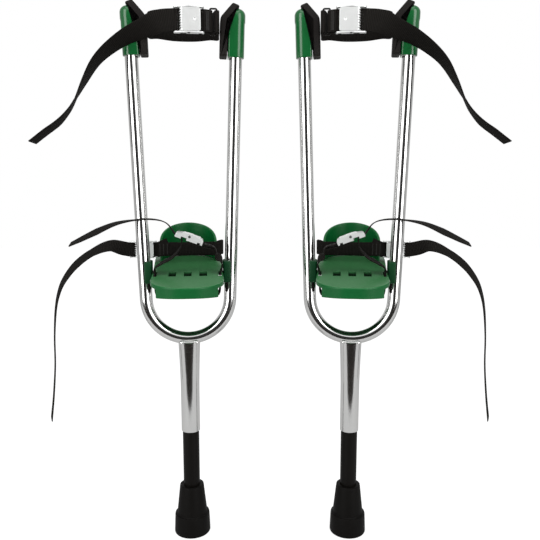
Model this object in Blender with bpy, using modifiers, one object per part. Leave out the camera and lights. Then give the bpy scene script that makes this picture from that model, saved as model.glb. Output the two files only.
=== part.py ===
"""A pair of peg stilts: chromed U frames on rubber-footed pegs, with moulded foot plates and webbing straps."""

from math import cos, hypot, pi, radians, sin, tan

import bmesh
import bpy
from mathutils import Matrix, Vector

# Stance. Each stilt is modelled in its own frame: +X outward, -Y to the toe, +Z up, origin under the peg.
STANCE = 0.247
TOE_IN = radians(6.4)
CENTRE_SHIFT = -0.0114
GAP = 0.0003

# Frame tube: two leaning arms joined by a round bend.
TUBE_OD = 0.019
TUBE_WALL = 0.0015
BEND_RADIUS = 0.063
BEND_BOTTOM = 0.314
ARM_LEAN = radians(1.83)
ARM_HEIGHT = 0.462
BEND_STEPS = 8
TUBE_BEVEL_STEPS = 4

# Sleeve under the bend, the peg in it and the rubber foot.
SLEEVE_OD = 0.0286
SLEEVE_FLARE_OD = 0.0332
SLEEVE_FLARE_LENGTH = 0.075
SLEEVE_LENGTH = 0.142
SLEEVE_SADDLE = 0.004
PEG_OD = 0.0254
PEG_WALL = 0.002
PEG_INSERT = 0.112
FOOT_BASE_OD = 0.056
FOOT_COLLAR_OD = 0.054
FOOT_COLLAR_HEIGHT = 0.031
FOOT_CONE_BASE_OD = 0.047
FOOT_CONE_TOP_OD = 0.0375
FOOT_HEIGHT = 0.078
FOOT_SOLE = 0.012
FOOT_EDGE = 0.0015
ROUND_STEPS = 18

# Screw that holds the peg, through the back of the sleeve.
SCREW_RADIUS = 0.0025
SCREW_HEAD_RADIUS = 0.0046
SCREW_HEAD_HEIGHT = 0.0026
SCREW_ABOVE_MOUTH = 0.022
SCREW_STEPS = 10

# Caps on the tube ends, with the leg pads on their inner faces.
CAP_WALL = 0.0032
CAP_FACE = 0.003
CAP_CORNER = 0.003
CAP_GRIP = 0.0495
CAP_OVER = 0.0185
CAP_LIP_DROP = 0.021
CAP_LIP = 0.0007
CAP_DOME = 0.0095
CHAMFER_ANGLE = radians(40)
PAD_THICKNESS = 0.0108
PAD_WIDTH = 0.026
PAD_FLAP = 0.027
PAD_EDGE = 0.0015

# Foot plate: a sheet on a hollow skirt that deepens to the heel, tipped toe down between the arms.
PLATE_RISE = 0.103
PLATE_TILT = radians(7)
PLATE_WING = 0.009
PLATE_HEEL_INSET = 0.002
PLATE_FRONT = 0.092
PLATE_BACK = 0.112
PLATE_WING_FRONT = 0.036
PLATE_TOE_RADIUS = 0.024
PLATE_HEEL_RADIUS = 0.028
PLATE_THICKNESS = 0.006
PLATE_CROWN = 0.002
SKIRT_INSET = 0.0006
SKIRT_TOE_DEPTH = 0.0155
SKIRT_HEEL_DEPTH = 0.028
SKIRT_LAP = 0.001
SKIRT_WALL = 0.003
SKIRT_BACK_RADIUS = 0.024
SLOT_ROW = -0.017
SLOT_LENGTH = 0.026
SLOT_WIDTH = 0.0115
SLOT_PITCH = 0.0227
SIDE_SLOT_INSET = 0.005
SIDE_SLOT_WIDTH = 0.0045
RIB_WALL = 0.0025
RIB_SETBACK = 0.006
RIB_SHORT = 0.001

# Brackets between the plate and the arms.
BRACKET_WEB = 0.0023
BRACKET_DROP = 0.023
BRACKET_RISE = 0.016
BRACKET_DEPTH = 0.030
BRACKET_EDGE = 0.002

# Heel cup on the back of the plate.
CUP_INSET = 0.0073
CUP_WALL = 0.004
CUP_CENTRE = 0.060
CUP_SIDE_HEIGHT = 0.030
CUP_BACK_HEIGHT = 0.055
CUP_STEPS = 16
CUP_RISERS = 3

# Webbing.
WEB_THICKNESS = 0.0016
CALF_WEB = 0.030
TOE_WEB = 0.022
ANKLE_WEB = 0.022
LAYER = WEB_THICKNESS + GAP

# Cam buckles: a channel with an anchor bar, a toothed lever and its pin. x runs to the nose, z off the base.
BUCKLE_NOSE = 0.0205
BUCKLE_TAIL = 0.0210
BUCKLE_BASE = 0.0015
BUCKLE_WALL = 0.0015
BUCKLE_SIDE_GAP = 0.0008
BUCKLE_BAR = 0.003
BUCKLE_ANCHOR_SLOT = 0.0045
BUCKLE_ANCHOR_NOTCH = 0.0026
BUCKLE_WEB_SLOT_BACK = 0.003
BUCKLE_WEB_SLOT_NOSE = 0.0115
BUCKLE_WEB_NOTCH = 0.0032
BUCKLE_HEIGHT = 0.0105
BUCKLE_NOSE_HEIGHT = 0.0068
BUCKLE_TAIL_HEIGHT = 0.0085
CHEEK_ROUND = 0.0035
PIN_RADIUS = 0.0013
PIN_HEIGHT = 0.0066
PIN_WALL = 0.003
PIN_HEAD = 0.001
LEVER_HUB = 0.0024
LEVER_SIDE_GAP = 0.0005
LEVER_NOSE = 0.0128
LEVER_BROW = 0.0045
LEVER_THUMB = 0.0165
LEVER_RISE = 0.0036
LEVER_PLATE = 0.0016
NOTCH_RADIUS = 0.0012
NOTCH_OUT = 0.0004
TOOTH_PITCH = 0.0024
THREAD_END = 0.0150
WRAP_RADIUS = 0.0020
WRAP_STEPS = 3
SEWN_LAP = 0.017

# Where the buckles sit.
CALF_DROP = 0.007
CALF_BUCKLE_X = -0.0080
CALF_BUCKLE_Y = -0.0315
TOE_BUCKLE_X = -0.0015
TOE_BUCKLE_RISE = 0.0475
TOE_BUCKLE_SLOPE = radians(20)
ANKLE_BUCKLE_OUT = 0.0057
ANKLE_BUCKLE_Y = 0.0505
ANKLE_BUCKLE_RISE = 0.0285

# Rectangular ring that joins the calf webbing.
RING_WIRE = 0.0024
RING_SLACK = 0.0006
RING_WIDTH = 0.0095
RING_CORNER = 0.002
RING_Y = -0.0290

# Webbing's way to its buckle: (x, z) from the slot's nose edge, and the angle in degrees at which it turns in.
TOE_APPROACH = ((-0.0034, -0.0047),)
ANKLE_APPROACH = ((-0.0025, -0.0140), (-0.0018, -0.0050))
CALF_ENTRY = 270
TOE_ENTRY = 200
ANKLE_ENTRY = 190

# Calf webbing round the leg: shares of the pads' half gap, with y, and how much higher it sits behind.
CALF_BACK = ((-0.81, 0.034), (-0.32, 0.046), (0.32, 0.046), (0.81, 0.034))
CALF_BACK_RISE = 0.005
CALF_FRONT = ((0.95, -0.016), (0.645, -0.027))

# Toe webbing over the foot: in from the side slots, above the plate, and how steeply its width leans.
TOE_INNER = (
    (0.0044, 0.0250, 0.75),
    (-0.0012, 0.0190, 0.5),
    (-0.0035, 0.0120, 0.25),
    (-0.0027, 0.0060, 0),
)
TOE_ARCH = (
    (-0.0005, 0.0065, 0),
    (0.0085, 0.0135, 0.08),
    (0.0232, 0.0215, 0.12),
    (0.0312, 0.0287, 0.12),
    (0.0385, 0.0385, 0.06),
)
TOE_TUCK = 0.007
TOE_SLACK = 0.0135

# Ankle webbing round the cup: shares of the cup's reach with y from its centre, and degrees behind it.
ANKLE_FRONT = (
    (0.30, -0.0085),
    (-0.15, -0.0065),
    (-0.585, -0.006),
    (-0.935, -0.0055),
    (-1.14, 0),
    (-1.14, 0.009),
)
ANKLE_BACK = (-56, -28, 0, 28, 56)
ANKLE_OUTER = (1.165, 0.018)
ANKLE_BACK_DROP = 0.008
ANKLE_LAP_KICK = 0.007

# Free webbing ends: hand-chosen places from the buckle, each with the direction of the webbing's width.
CALF_TAIL = (
    ((0.0415, -0.0015, -0.0028), (0.20, -0.20, 1.00)),
    ((0.0608, 0.0015, -0.0111), (0.32, -0.60, 0.74)),
    ((0.0874, 0.0055, -0.0227), (0.29, -0.76, 0.58)),
    ((0.1120, 0.0075, -0.0396), (0.32, -0.85, 0.41)),
    ((0.1293, 0.0095, -0.0565), (0.33, -0.91, 0.26)),
    ((0.1448, 0.0125, -0.0806), (0.23, -0.96, 0.14)),
    ((0.1580, 0.0145, -0.1040), (0.07, -1.00, 0.04)),
    ((0.1685, 0.0165, -0.1204), (0.14, -0.97, 0.10)),
    ((0.1842, 0.0185, -0.1371), (0.18, -0.96, 0.21)),
    ((0.2023, 0.0205, -0.1501), (0.18, -0.95, 0.24)),
    ((0.2217, 0.0215, -0.1648), (0.18, -0.95, 0.24)),
)
TOE_TAIL = (
    ((0.0315, -0.0021, 0.0260), (0.0, 1.0, 0.0)),
    ((0.0505, -0.0061, 0.0315), (0.0, 1.0, 0.05)),
    ((0.0765, -0.0096, 0.0305), (0.0, 1.0, 0.05)),
    ((0.1025, -0.0101, 0.0255), (0.10, 1.0, 0.20)),
    ((0.1290, -0.0091, 0.0145), (0.20, 1.0, 0.35)),
    ((0.1510, -0.0081, 0.0040), (0.15, 1.0, 0.25)),
    ((0.1670, -0.0071, -0.0035), (0.10, 1.0, 0.15)),
)
ANKLE_TAIL = (
    ((0.0300, -0.0035, 0.0020), (0.0, 0.12, 1.0)),
    ((0.0500, -0.0050, 0.0065), (0.05, 0.66, 0.75)),
    ((0.0770, -0.0065, -0.0035), (0.15, 0.86, 0.48)),
    ((0.1010, -0.0075, -0.0210), (0.22, 0.86, 0.45)),
    ((0.1170, -0.0085, -0.0400), (0.22, 0.90, 0.33)),
    ((0.1270, -0.0085, -0.0580), (0.18, 0.95, 0.20)),
    ((0.1345, -0.0085, -0.0855), (0.12, 1.0, 0.0)),
    ((0.1390, -0.0085, -0.1310), (0.05, 1.0, 0.0)),
    ((0.1405, -0.0085, -0.1810), (0.05, 1.0, 0.0)),
    ((0.1450, -0.0085, -0.2310), (0.08, 1.0, 0.0)),
    ((0.1498, -0.0085, -0.2685), (0.10, 1.0, 0.0)),
)

# Values worked out from the sizes above.
BEND_CENTRE = BEND_BOTTOM + BEND_RADIUS
ARM_FOOT = Vector((BEND_RADIUS * cos(ARM_LEAN), 0, BEND_CENTRE - BEND_RADIUS * sin(ARM_LEAN)))
TUBE_TOP = BEND_BOTTOM + ARM_HEIGHT
CAP_RADIUS = TUBE_OD / 2 + CAP_WALL
CAP_FLAT = TUBE_OD / 2 + CAP_FACE
CALF_HEIGHT = TUBE_TOP - CALF_DROP
PLATE_HEIGHT = BEND_BOTTOM + PLATE_RISE
ARM_AT_PLATE = ARM_FOOT.x + (PLATE_HEIGHT - ARM_FOOT.z) * tan(ARM_LEAN)
PLATE_HALF = ARM_AT_PLATE - TUBE_OD / 2 - BRACKET_WEB
PLATE_TOE_HALF = PLATE_HALF - PLATE_WING
PLATE_HEEL_HALF = PLATE_HALF - PLATE_HEEL_INSET
SIDE_SLOT_X = PLATE_HALF - SIDE_SLOT_INSET
CUP_RADIUS = PLATE_HEEL_HALF - CUP_INSET
SLEEVE_TOP = BEND_BOTTOM - TUBE_OD / 2 + SLEEVE_SADDLE
SLEEVE_BOTTOM = SLEEVE_TOP - SLEEVE_LENGTH
PEG_TOP = SLEEVE_BOTTOM + PEG_INSERT
PEG_BORE_RADIUS = PEG_OD / 2 + GAP
BAR_CENTRE = BUCKLE_BAR / 2 - BUCKLE_TAIL
MID_BASE = BUCKLE_BASE / 2


def along_arm(height):
    """The distance up an arm's axis from its foot, at this height above the ground."""
    return (height - ARM_FOOT.z) / cos(ARM_LEAN)


def arm_x(height):
    return ARM_FOOT.x + (height - ARM_FOOT.z) * tan(ARM_LEAN)


def pad_face_x(height):
    """How far out the leg side of a pad is, below its flap."""
    return arm_x(height) - (CAP_FLAT + GAP + PAD_THICKNESS) / cos(ARM_LEAN)


def clear_scene():
    for obj in list(bpy.data.objects):
        bpy.data.objects.remove(obj, do_unlink=True)
    for name in ("peg_stilts", "cutters"):
        bpy.context.scene.collection.children.link(bpy.data.collections.new(name))


def make_material(name, colour, roughness, metallic=0.0):
    material = bpy.data.materials.new(name)
    material.use_nodes = True
    shader = material.node_tree.nodes["Principled BSDF"]
    shader.inputs["Base Color"].default_value = (*colour, 1.0)
    shader.inputs["Roughness"].default_value = roughness
    shader.inputs["Metallic"].default_value = metallic
    return material


def make_materials():
    return {
        "chrome": make_material("chrome", (0.80, 0.80, 0.79), 0.08, 1.0),
        "green": make_material("green_plastic", (0.010, 0.165, 0.040), 0.35),
        "dark_green": make_material("bracket_plastic", (0.008, 0.090, 0.030), 0.40),
        "webbing": make_material("webbing", (0.012, 0.011, 0.010), 0.80),
        "foam": make_material("foam", (0.030, 0.024, 0.021), 0.85),
        "rubber": make_material("rubber", (0.012, 0.011, 0.010), 0.60),
        "black": make_material("black_paint", (0.012, 0.011, 0.010), 0.35, 0.2),
        "zinc": make_material("zinc", (0.78, 0.79, 0.78), 0.30, 1.0),
    }


def add_empty(name, parent=None, matrix=None):
    empty = bpy.data.objects.new(name, None)
    empty.empty_display_size = 0.02
    bpy.data.collections["peg_stilts"].objects.link(empty)
    empty.parent = parent
    if matrix is not None:
        empty.matrix_basis = matrix
    return empty


def add_object(name, bm, parent, material=None):
    """The object of this mesh: a piece in its material or, with none, a cutter."""
    bmesh.ops.recalc_face_normals(bm, faces=bm.faces)
    mesh = bpy.data.meshes.new(name)
    bm.to_mesh(mesh)
    bm.free()
    obj = bpy.data.objects.new(name, mesh)
    obj.parent = parent
    if material is None:
        obj.hide_render = True
        obj.display_type = "WIRE"
        bpy.data.collections["cutters"].objects.link(obj)
    else:
        mesh.materials.append(material)
        mesh.shade_smooth()
        mesh.set_sharp_from_angle(angle=radians(35))
        bpy.data.collections["peg_stilts"].objects.link(obj)
    return obj


def combine(obj, other, operation="DIFFERENCE"):
    modifier = obj.modifiers.new(operation.lower(), "BOOLEAN")
    modifier.operation = operation
    modifier.object = other


def rounded(corners, steps=4):
    """The outline through (x, y, radius) corners, with an arc of that radius at each."""
    outline = []
    for index, (x, y, radius) in enumerate(corners):
        here = Vector((x, y))
        before = Vector(corners[index - 1][:2]) - here
        after = Vector(corners[(index + 1) % len(corners)][:2]) - here
        if radius == 0:
            outline.append(here)
            continue
        half = before.angle(after) / 2
        centre = here + (before.normalized() + after.normalized()).normalized() * (radius / sin(half))
        start = here + before.normalized() * (radius / tan(half)) - centre
        sweep = start.angle_signed(here + after.normalized() * (radius / tan(half)) - centre)
        outline += [centre + Matrix.Rotation(-sweep * k / steps, 2) @ start for k in range(steps + 1)]
    return outline


def both_sides(half):
    """A whole outline from (x, y, radius) corners down one side, with the same mirrored up the other."""
    return list(half) + [(-x, y, radius) for x, y, radius in reversed(half)]


def prism(outline, levels, upright=True):
    """An outline extruded through (height, grow) levels, up Z or, if not upright, back along Y."""
    bm = bmesh.new()
    face = bm.faces.new([bm.verts.new((x, y, 0)) for x, y in outline])
    size = max(hypot(x, y) for x, y in outline)
    bmesh.ops.scale(bm, verts=face.verts, vec=Vector((1, 1, 1)) * (1 + levels[0][1] / size))
    bmesh.ops.translate(bm, verts=face.verts, vec=(0, 0, levels[0][0]))
    base = face
    for (low, was), (high, grow) in zip(levels, levels[1:]):
        made = bmesh.ops.extrude_face_region(bm, geom=[face])["geom"]
        verts = [item for item in made if isinstance(item, bmesh.types.BMVert)]
        if face is not base:
            bmesh.ops.delete(bm, geom=[face], context="FACES_ONLY")
        face = next(item for item in made if isinstance(item, bmesh.types.BMFace))
        factor = (size + grow) / (size + was)
        bmesh.ops.scale(bm, verts=verts, vec=(factor, factor, 1))
        bmesh.ops.translate(bm, verts=verts, vec=(0, 0, high - low))
    if not upright:
        bmesh.ops.rotate(bm, verts=bm.verts, cent=(0, 0, 0), matrix=Matrix.Rotation(pi / 2, 3, "X"))
    return bm


def box(low, high):
    bm = bmesh.new()
    add_box(bm, low, high)
    return bm


def add_box(bm, low, high):
    low, high = Vector(low), Vector(high)
    size = Matrix.Diagonal((*(high - low), 1))
    bmesh.ops.create_cube(bm, size=1, matrix=Matrix.Translation((low + high) / 2) @ size)


def soften(bm, width, chosen, segments=2):
    """Rounds the edges whose two ends both pass the test."""
    edges = [edge for edge in bm.edges if all(chosen(vert.co) for vert in edge.verts)]
    bmesh.ops.bevel(bm, geom=edges, offset=width, segments=segments, profile=0.5, affect="EDGES")


def rod(radius, start, end, steps):
    """A round bar from one point to another."""
    bm = bmesh.new()
    run = Vector(end) - Vector(start)
    place = Matrix.Translation((Vector(start) + Vector(end)) / 2)
    turn = run.to_track_quat("Z", "Y").to_matrix().to_4x4()
    bmesh.ops.create_cone(
        bm, cap_ends=True, segments=steps, radius1=radius, radius2=radius, depth=run.length, matrix=place @ turn
    )
    return bm


def turned(name, profile, parent, material):
    """A solid of revolution about Z from a closed (radius, height) profile."""
    bm = bmesh.new()
    verts = [bm.verts.new((radius, 0, height)) for radius, height in profile]
    on_axis = profile[0][0] == 0 and profile[-1][0] == 0
    for first, second in zip(verts, verts[1:] + ([] if on_axis else verts[:1])):
        bm.edges.new((first, second))
    obj = add_object(name, bm, parent, material)
    screw = obj.modifiers.new("turn", "SCREW")
    screw.steps = ROUND_STEPS
    screw.render_steps = ROUND_STEPS
    screw.use_merge_vertices = True
    screw.merge_threshold = 0.00001
    screw.use_smooth_shade = True
    return obj


def swept(points, radius, bevel_steps, closed=False):
    """A round wire or tube along these points, as a welded mesh."""
    curve = bpy.data.curves.new("sweep", "CURVE")
    curve.dimensions = "3D"
    curve.bevel_depth = radius
    curve.bevel_resolution = bevel_steps
    curve.use_fill_caps = True
    spline = curve.splines.new("POLY")
    spline.points.add(len(points) - 1)
    spline.use_cyclic_u = closed
    for point, place in zip(spline.points, points):
        point.co = (*place, 1)
    obj = bpy.data.objects.new("sweep", curve)
    bpy.context.scene.collection.objects.link(obj)
    graph = bpy.context.evaluated_depsgraph_get()
    mesh = bpy.data.meshes.new_from_object(obj.evaluated_get(graph))
    bm = bmesh.new()
    bm.from_mesh(mesh)
    bmesh.ops.remove_doubles(bm, verts=bm.verts, dist=0.00001)
    bpy.data.objects.remove(obj)
    bpy.data.curves.remove(curve)
    bpy.data.meshes.remove(mesh)
    return bm


def smooth_path(route, steps, closed=False):
    """Points and width directions on a smooth curve through the route's own points."""
    places = [Vector(place) for place, _ in route]
    across = [Vector(width).normalized() for _, width in route]
    count = len(route)
    path = []
    for index in range(count if closed else count - 1):
        ring = [index - 1, index, index + 1, index + 2]
        ring = [k % count if closed else min(max(k, 0), count - 1) for k in ring]
        a, b, c, d = (places[k] for k in ring)
        reach = (c - b).length
        leave = (c - a).normalized() * reach
        arrive = (d - b).normalized() * reach
        for k in range(steps):
            t = k / steps
            place = b * (2 * t**3 - 3 * t**2 + 1) + leave * (t**3 - 2 * t**2 + t)
            place += c * (3 * t**2 - 2 * t**3) + arrive * (t**3 - t**2)
            path.append((place, across[ring[1]].lerp(across[ring[2]], t)))
    if not closed:
        path.append((places[-1], across[-1]))
    return path


def webbing(name, route, width, parent, material, steps=2, closed=False):
    """Flat webbing along a route: a strip of faces, thickened to both sides."""
    path = smooth_path(route, steps, closed)
    bm = bmesh.new()
    edges = []
    for index, (place, across) in enumerate(path):
        before = path[index - 1][0] if closed or index else place
        after = path[(index + 1) % len(path)][0] if closed or index + 1 < len(path) else place
        along = (after - before).normalized()
        side = (across - along * across.dot(along)).normalized() * width / 2
        edges.append(bm.edges.new((bm.verts.new(place - side), bm.verts.new(place + side))))
    for first, second in zip(edges, edges[1:] + (edges[:1] if closed else [])):
        bm.faces.new((*first.verts, *reversed(second.verts)))
    obj = add_object(name, bm, parent, material)
    solid = obj.modifiers.new("thickness", "SOLIDIFY")
    solid.thickness = WEB_THICKNESS
    solid.offset = 0
    solid.use_even_offset = True
    return obj


def in_frame(matrix, points, across=(0, 1, 0)):
    """Route entries for (x, z) or (x, y, z) points given in another frame."""
    width = matrix.to_3x3() @ Vector(across)
    return [(matrix @ Vector((p[0], 0, p[1]) if len(p) == 2 else p), width) for p in points]


def frame_at(place, nose, out):
    """The matrix with x along the nose direction and z along the outward direction."""
    x, z = Vector(nose).normalized(), Vector(out).normalized()
    y = z.cross(x)
    return Matrix.Translation(place) @ Matrix((x, y, z)).transposed().to_4x4()


def arc(centre, radius, start, end, steps):
    """(x, z) points on an arc, by angles in degrees."""
    angles = [radians(start + (end - start) * k / steps) for k in range(steps + 1)]
    return [(centre[0] + radius * cos(a), centre[1] + radius * sin(a)) for a in angles]


def frame_points(reach):
    """The tube's centreline, its two ends carried past the tube's own by this reach."""
    end = along_arm(TUBE_TOP) + reach
    bend = [radians(-90 * (1 - k / BEND_STEPS)) for k in range(2 * BEND_STEPS + 1)]
    share = 1 - ARM_LEAN / (pi / 2)
    centre = Vector((0, 0, BEND_CENTRE))
    points = [centre + Vector((BEND_RADIUS * sin(a * share), 0, -BEND_RADIUS * cos(a * share))) for a in bend]
    lean = Vector((sin(ARM_LEAN), 0, cos(ARM_LEAN)))
    top = ARM_FOOT + lean * end
    return [Vector((-top.x, 0, top.z))] + points + [top]


def build_frame(side, stilt, materials):
    """The U-shaped tube. Returns the cutter that seats other pieces against it."""
    bm = swept(frame_points(0), TUBE_OD / 2, TUBE_BEVEL_STEPS)
    tube = add_object(side + "u_frame", bm, stilt, materials["chrome"])
    bore = swept(frame_points(TUBE_WALL), TUBE_OD / 2 - TUBE_WALL, 2)
    combine(tube, add_object(side + "tube_bore", bore, stilt))
    seat = swept(frame_points(TUBE_OD), TUBE_OD / 2 + GAP, TUBE_BEVEL_STEPS)
    return add_object(side + "tube_seat", seat, stilt)


def build_peg(side, stilt, seat, materials):
    straight = SLEEVE_TOP - SLEEVE_FLARE_LENGTH
    shoulder = PEG_TOP + GAP
    sleeve = turned(side + "peg_sleeve", [
        (0, SLEEVE_TOP),
        (SLEEVE_FLARE_OD / 2, SLEEVE_TOP),
        ((SLEEVE_FLARE_OD + 2 * SLEEVE_OD) / 6, (SLEEVE_TOP + straight) / 2),
        (SLEEVE_OD / 2, straight),
        (SLEEVE_OD / 2, SLEEVE_BOTTOM),
        (PEG_BORE_RADIUS, SLEEVE_BOTTOM),
        (PEG_BORE_RADIUS, shoulder),
        (0, shoulder),
    ], stilt, materials["chrome"])
    peg = turned(side + "peg_tube", [
        (PEG_OD / 2, PEG_TOP),
        (PEG_OD / 2, FOOT_SOLE),
        (PEG_OD / 2 - PEG_WALL, FOOT_SOLE),
        (PEG_OD / 2 - PEG_WALL, PEG_TOP),
    ], stilt, materials["black"])
    turned(side + "rubber_foot", [
        (PEG_BORE_RADIUS, FOOT_HEIGHT),
        (FOOT_CONE_TOP_OD / 2 - FOOT_EDGE, FOOT_HEIGHT),
        (FOOT_CONE_TOP_OD / 2, FOOT_HEIGHT - FOOT_EDGE),
        (FOOT_CONE_BASE_OD / 2, FOOT_COLLAR_HEIGHT),
        (FOOT_COLLAR_OD / 2 - FOOT_EDGE, FOOT_COLLAR_HEIGHT),
        (FOOT_COLLAR_OD / 2, FOOT_COLLAR_HEIGHT - FOOT_EDGE),
        (FOOT_BASE_OD / 2, FOOT_EDGE),
        (FOOT_BASE_OD / 2 - FOOT_EDGE, 0),
        (0, 0),
        (0, FOOT_SOLE - GAP),
        (PEG_BORE_RADIUS, FOOT_SOLE - GAP),
    ], stilt, materials["rubber"])
    combine(sleeve, seat)
    height = SLEEVE_BOTTOM + SCREW_ABOVE_MOUTH
    inside = PEG_OD / 2 - PEG_WALL - SCREW_RADIUS
    outside = SLEEVE_OD / 2 + GAP
    hole = rod(SCREW_RADIUS + GAP, (0, 0, height), (0, SLEEVE_OD, height), SCREW_STEPS)
    hole = add_object(side + "screw_hole", hole, stilt)
    combine(sleeve, hole)
    combine(peg, hole)
    screw = rod(SCREW_HEAD_RADIUS, (0, outside, height), (0, outside + SCREW_HEAD_HEIGHT, height), SCREW_STEPS)
    soften(screw, SCREW_HEAD_HEIGHT / 3, lambda co: co.y > outside + GAP)
    screw = add_object(side + "peg_screw", screw, stilt, materials["zinc"])
    shank = rod(SCREW_RADIUS, (0, inside, height), (0, outside + SCREW_HEAD_HEIGHT / 2, height), SCREW_STEPS)
    combine(screw, add_object(side + "screw_shank", shank, stilt), "UNION")


def build_arm_end(side, end, stilt, sign, materials):
    """The cap and pad at the top of one arm, in a frame whose z runs up the arm and x away from the leg."""
    lean = Matrix.Translation((sign * ARM_FOOT.x, 0, ARM_FOOT.z)) @ Matrix.Rotation(sign * ARM_LEAN, 4, "Y")
    arm = add_empty(side + end + "arm", stilt, lean @ Matrix.Diagonal((sign, 1, 1, 1)))
    low, turn, high = (along_arm(z) for z in (TUBE_TOP - CAP_GRIP, TUBE_TOP, TUBE_TOP + CAP_OVER))
    lip = high - CAP_LIP_DROP
    outline = rounded([
        (-CAP_FLAT, -CAP_RADIUS, CAP_CORNER),
        (CAP_RADIUS, -CAP_RADIUS, CAP_RADIUS - GAP),
        (CAP_RADIUS, CAP_RADIUS, CAP_RADIUS - GAP),
        (-CAP_FLAT, CAP_RADIUS, CAP_CORNER),
    ], steps=3)
    bm = prism(outline, [(low, -CAP_LIP), (lip, -CAP_LIP), (lip + CAP_LIP, 0), (high, 0)])
    soften(bm, CAP_DOME, lambda co: co.z > high - GAP, segments=3)
    corner = Vector((-CAP_FLAT, 0, turn))
    slope = Vector((-cos(CHAMFER_ANGLE), 0, sin(CHAMFER_ANGLE)))
    cut = bmesh.ops.bisect_plane(
        bm, geom=[*bm.verts, *bm.edges, *bm.faces], plane_co=corner, plane_no=slope, clear_outer=True
    )
    rim = [item for item in cut["geom_cut"] if isinstance(item, bmesh.types.BMEdge)]
    bmesh.ops.holes_fill(bm, edges=rim)
    cap = add_object(side + end + "cap", bm, arm, materials["green"])
    bore = rod(TUBE_OD / 2 + GAP, (0, 0, low - TUBE_OD), (0, 0, turn + GAP), ROUND_STEPS)
    combine(cap, add_object(side + end + "cap_bore", bore, arm))

    back, front = -CAP_FLAT - GAP, -CAP_FLAT - GAP - PAD_THICKNESS
    flap = Vector((sin(CHAMFER_ANGLE), cos(CHAMFER_ANGLE))) * PAD_FLAP
    fold = tan(CHAMFER_ANGLE / 2)
    outline = rounded([
        (front, low, PAD_EDGE),
        (front, turn + PAD_THICKNESS * fold, PAD_THICKNESS),
        (front + flap.x, turn + PAD_THICKNESS * fold + flap.y, PAD_EDGE),
        (back + flap.x, turn + GAP * fold + flap.y, PAD_EDGE),
        (back, turn + GAP * fold, 0),
        (back, low, PAD_EDGE),
    ], steps=3)
    pad = prism(outline, [(-PAD_WIDTH / 2, 0), (PAD_WIDTH / 2, 0)], upright=False)
    add_object(side + end + "pad", pad, arm, materials["foam"])


def plate_frame():
    return Matrix.Translation((0, 0, PLATE_HEIGHT)) @ Matrix.Rotation(PLATE_TILT, 4, "X")


def build_plate(side, stilt, materials):
    """The foot plate in its tipped frame: top at z = 0, toe at -Y."""
    frame = add_empty(side + "plate_frame", stilt, plate_frame())
    sheet = prism(rounded(both_sides([
        (PLATE_TOE_HALF, -PLATE_FRONT, PLATE_TOE_RADIUS),
        (PLATE_TOE_HALF, -PLATE_WING_FRONT - PLATE_WING, PLATE_WING),
        (PLATE_HALF, -PLATE_WING_FRONT, PLATE_WING),
        (PLATE_HALF, BRACKET_DEPTH / 2, PLATE_WING),
        (PLATE_HEEL_HALF, PLATE_BACK - PLATE_HEEL_RADIUS - PLATE_WING, 0),
        (PLATE_HEEL_HALF, PLATE_BACK, PLATE_HEEL_RADIUS),
    ]), steps=3), [(-PLATE_THICKNESS, 0), (0, 0)])
    soften(sheet, PLATE_CROWN, lambda co: co.z > -GAP)
    plate = add_object(side + "foot_plate", sheet, frame, materials["green"])

    def skirt(inset, top, toe, heel):
        """A block of the skirt's outline, its underside sloping from the toe's depth to the heel's."""
        half = PLATE_TOE_HALF - inset
        bm = prism(rounded(both_sides([
            (half, -PLATE_FRONT + inset, PLATE_TOE_RADIUS - inset),
            (half, PLATE_BACK - inset, SKIRT_BACK_RADIUS - inset),
        ]), steps=4), [(-toe, 0), (top, 0)])
        for vert in bm.verts:
            if vert.co.z < (top - toe) / 2:
                vert.co.z -= (heel - toe) * (vert.co.y + PLATE_FRONT) / (PLATE_FRONT + PLATE_BACK)
        return bm

    wall = skirt(SKIRT_INSET, SKIRT_LAP - PLATE_THICKNESS, SKIRT_TOE_DEPTH, SKIRT_HEEL_DEPTH)
    combine(plate, add_object(side + "skirt", wall, frame), "UNION")
    inset = SKIRT_INSET + SKIRT_WALL
    hollow = skirt(inset, -PLATE_THICKNESS, SKIRT_TOE_DEPTH + SKIRT_WALL, SKIRT_HEEL_DEPTH + SKIRT_WALL)
    hollow = add_object(side + "skirt_hollow", hollow, frame)
    ribs = bmesh.new()
    reach = SLOT_LENGTH / 2 + RIB_SETBACK
    for y in (SLOT_ROW - reach, SLOT_ROW + reach, CUP_CENTRE):
        low = (-PLATE_HALF, y - RIB_WALL / 2, RIB_SHORT - SKIRT_TOE_DEPTH)
        add_box(ribs, low, (PLATE_HALF, y + RIB_WALL / 2, 0))
    combine(hollow, add_object(side + "ribs", ribs, frame))
    combine(plate, hollow)
    slots = bmesh.new()
    places = [(x * SLOT_PITCH, SLOT_WIDTH) for x in (-1, 0, 1)]
    places += [(x * SIDE_SLOT_X, SIDE_SLOT_WIDTH) for x in (-1, 1)]
    for x, width in places:
        low = (x - width / 2, SLOT_ROW - SLOT_LENGTH / 2, -PLATE_THICKNESS - SKIRT_LAP)
        add_box(slots, low, (x + width / 2, SLOT_ROW + SLOT_LENGTH / 2, SKIRT_LAP))
    combine(plate, add_object(side + "slots", slots, frame))

    bm = bmesh.new()
    bmesh.ops.create_grid(bm, x_segments=CUP_STEPS, y_segments=CUP_RISERS, size=0.5)
    for vert in bm.verts:
        angle = vert.co.x * pi
        share = vert.co.y + 0.5
        height = CUP_SIDE_HEIGHT + (CUP_BACK_HEIGHT - CUP_SIDE_HEIGHT) * cos(angle)
        vert.co = (CUP_RADIUS * sin(angle), CUP_CENTRE + CUP_RADIUS * cos(angle), GAP + share * height)
    cup = add_object(side + "heel_cup", bm, frame, materials["green"])
    shell = cup.modifiers.new("wall", "SOLIDIFY")
    shell.thickness = CUP_WALL
    shell.offset = 0


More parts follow.
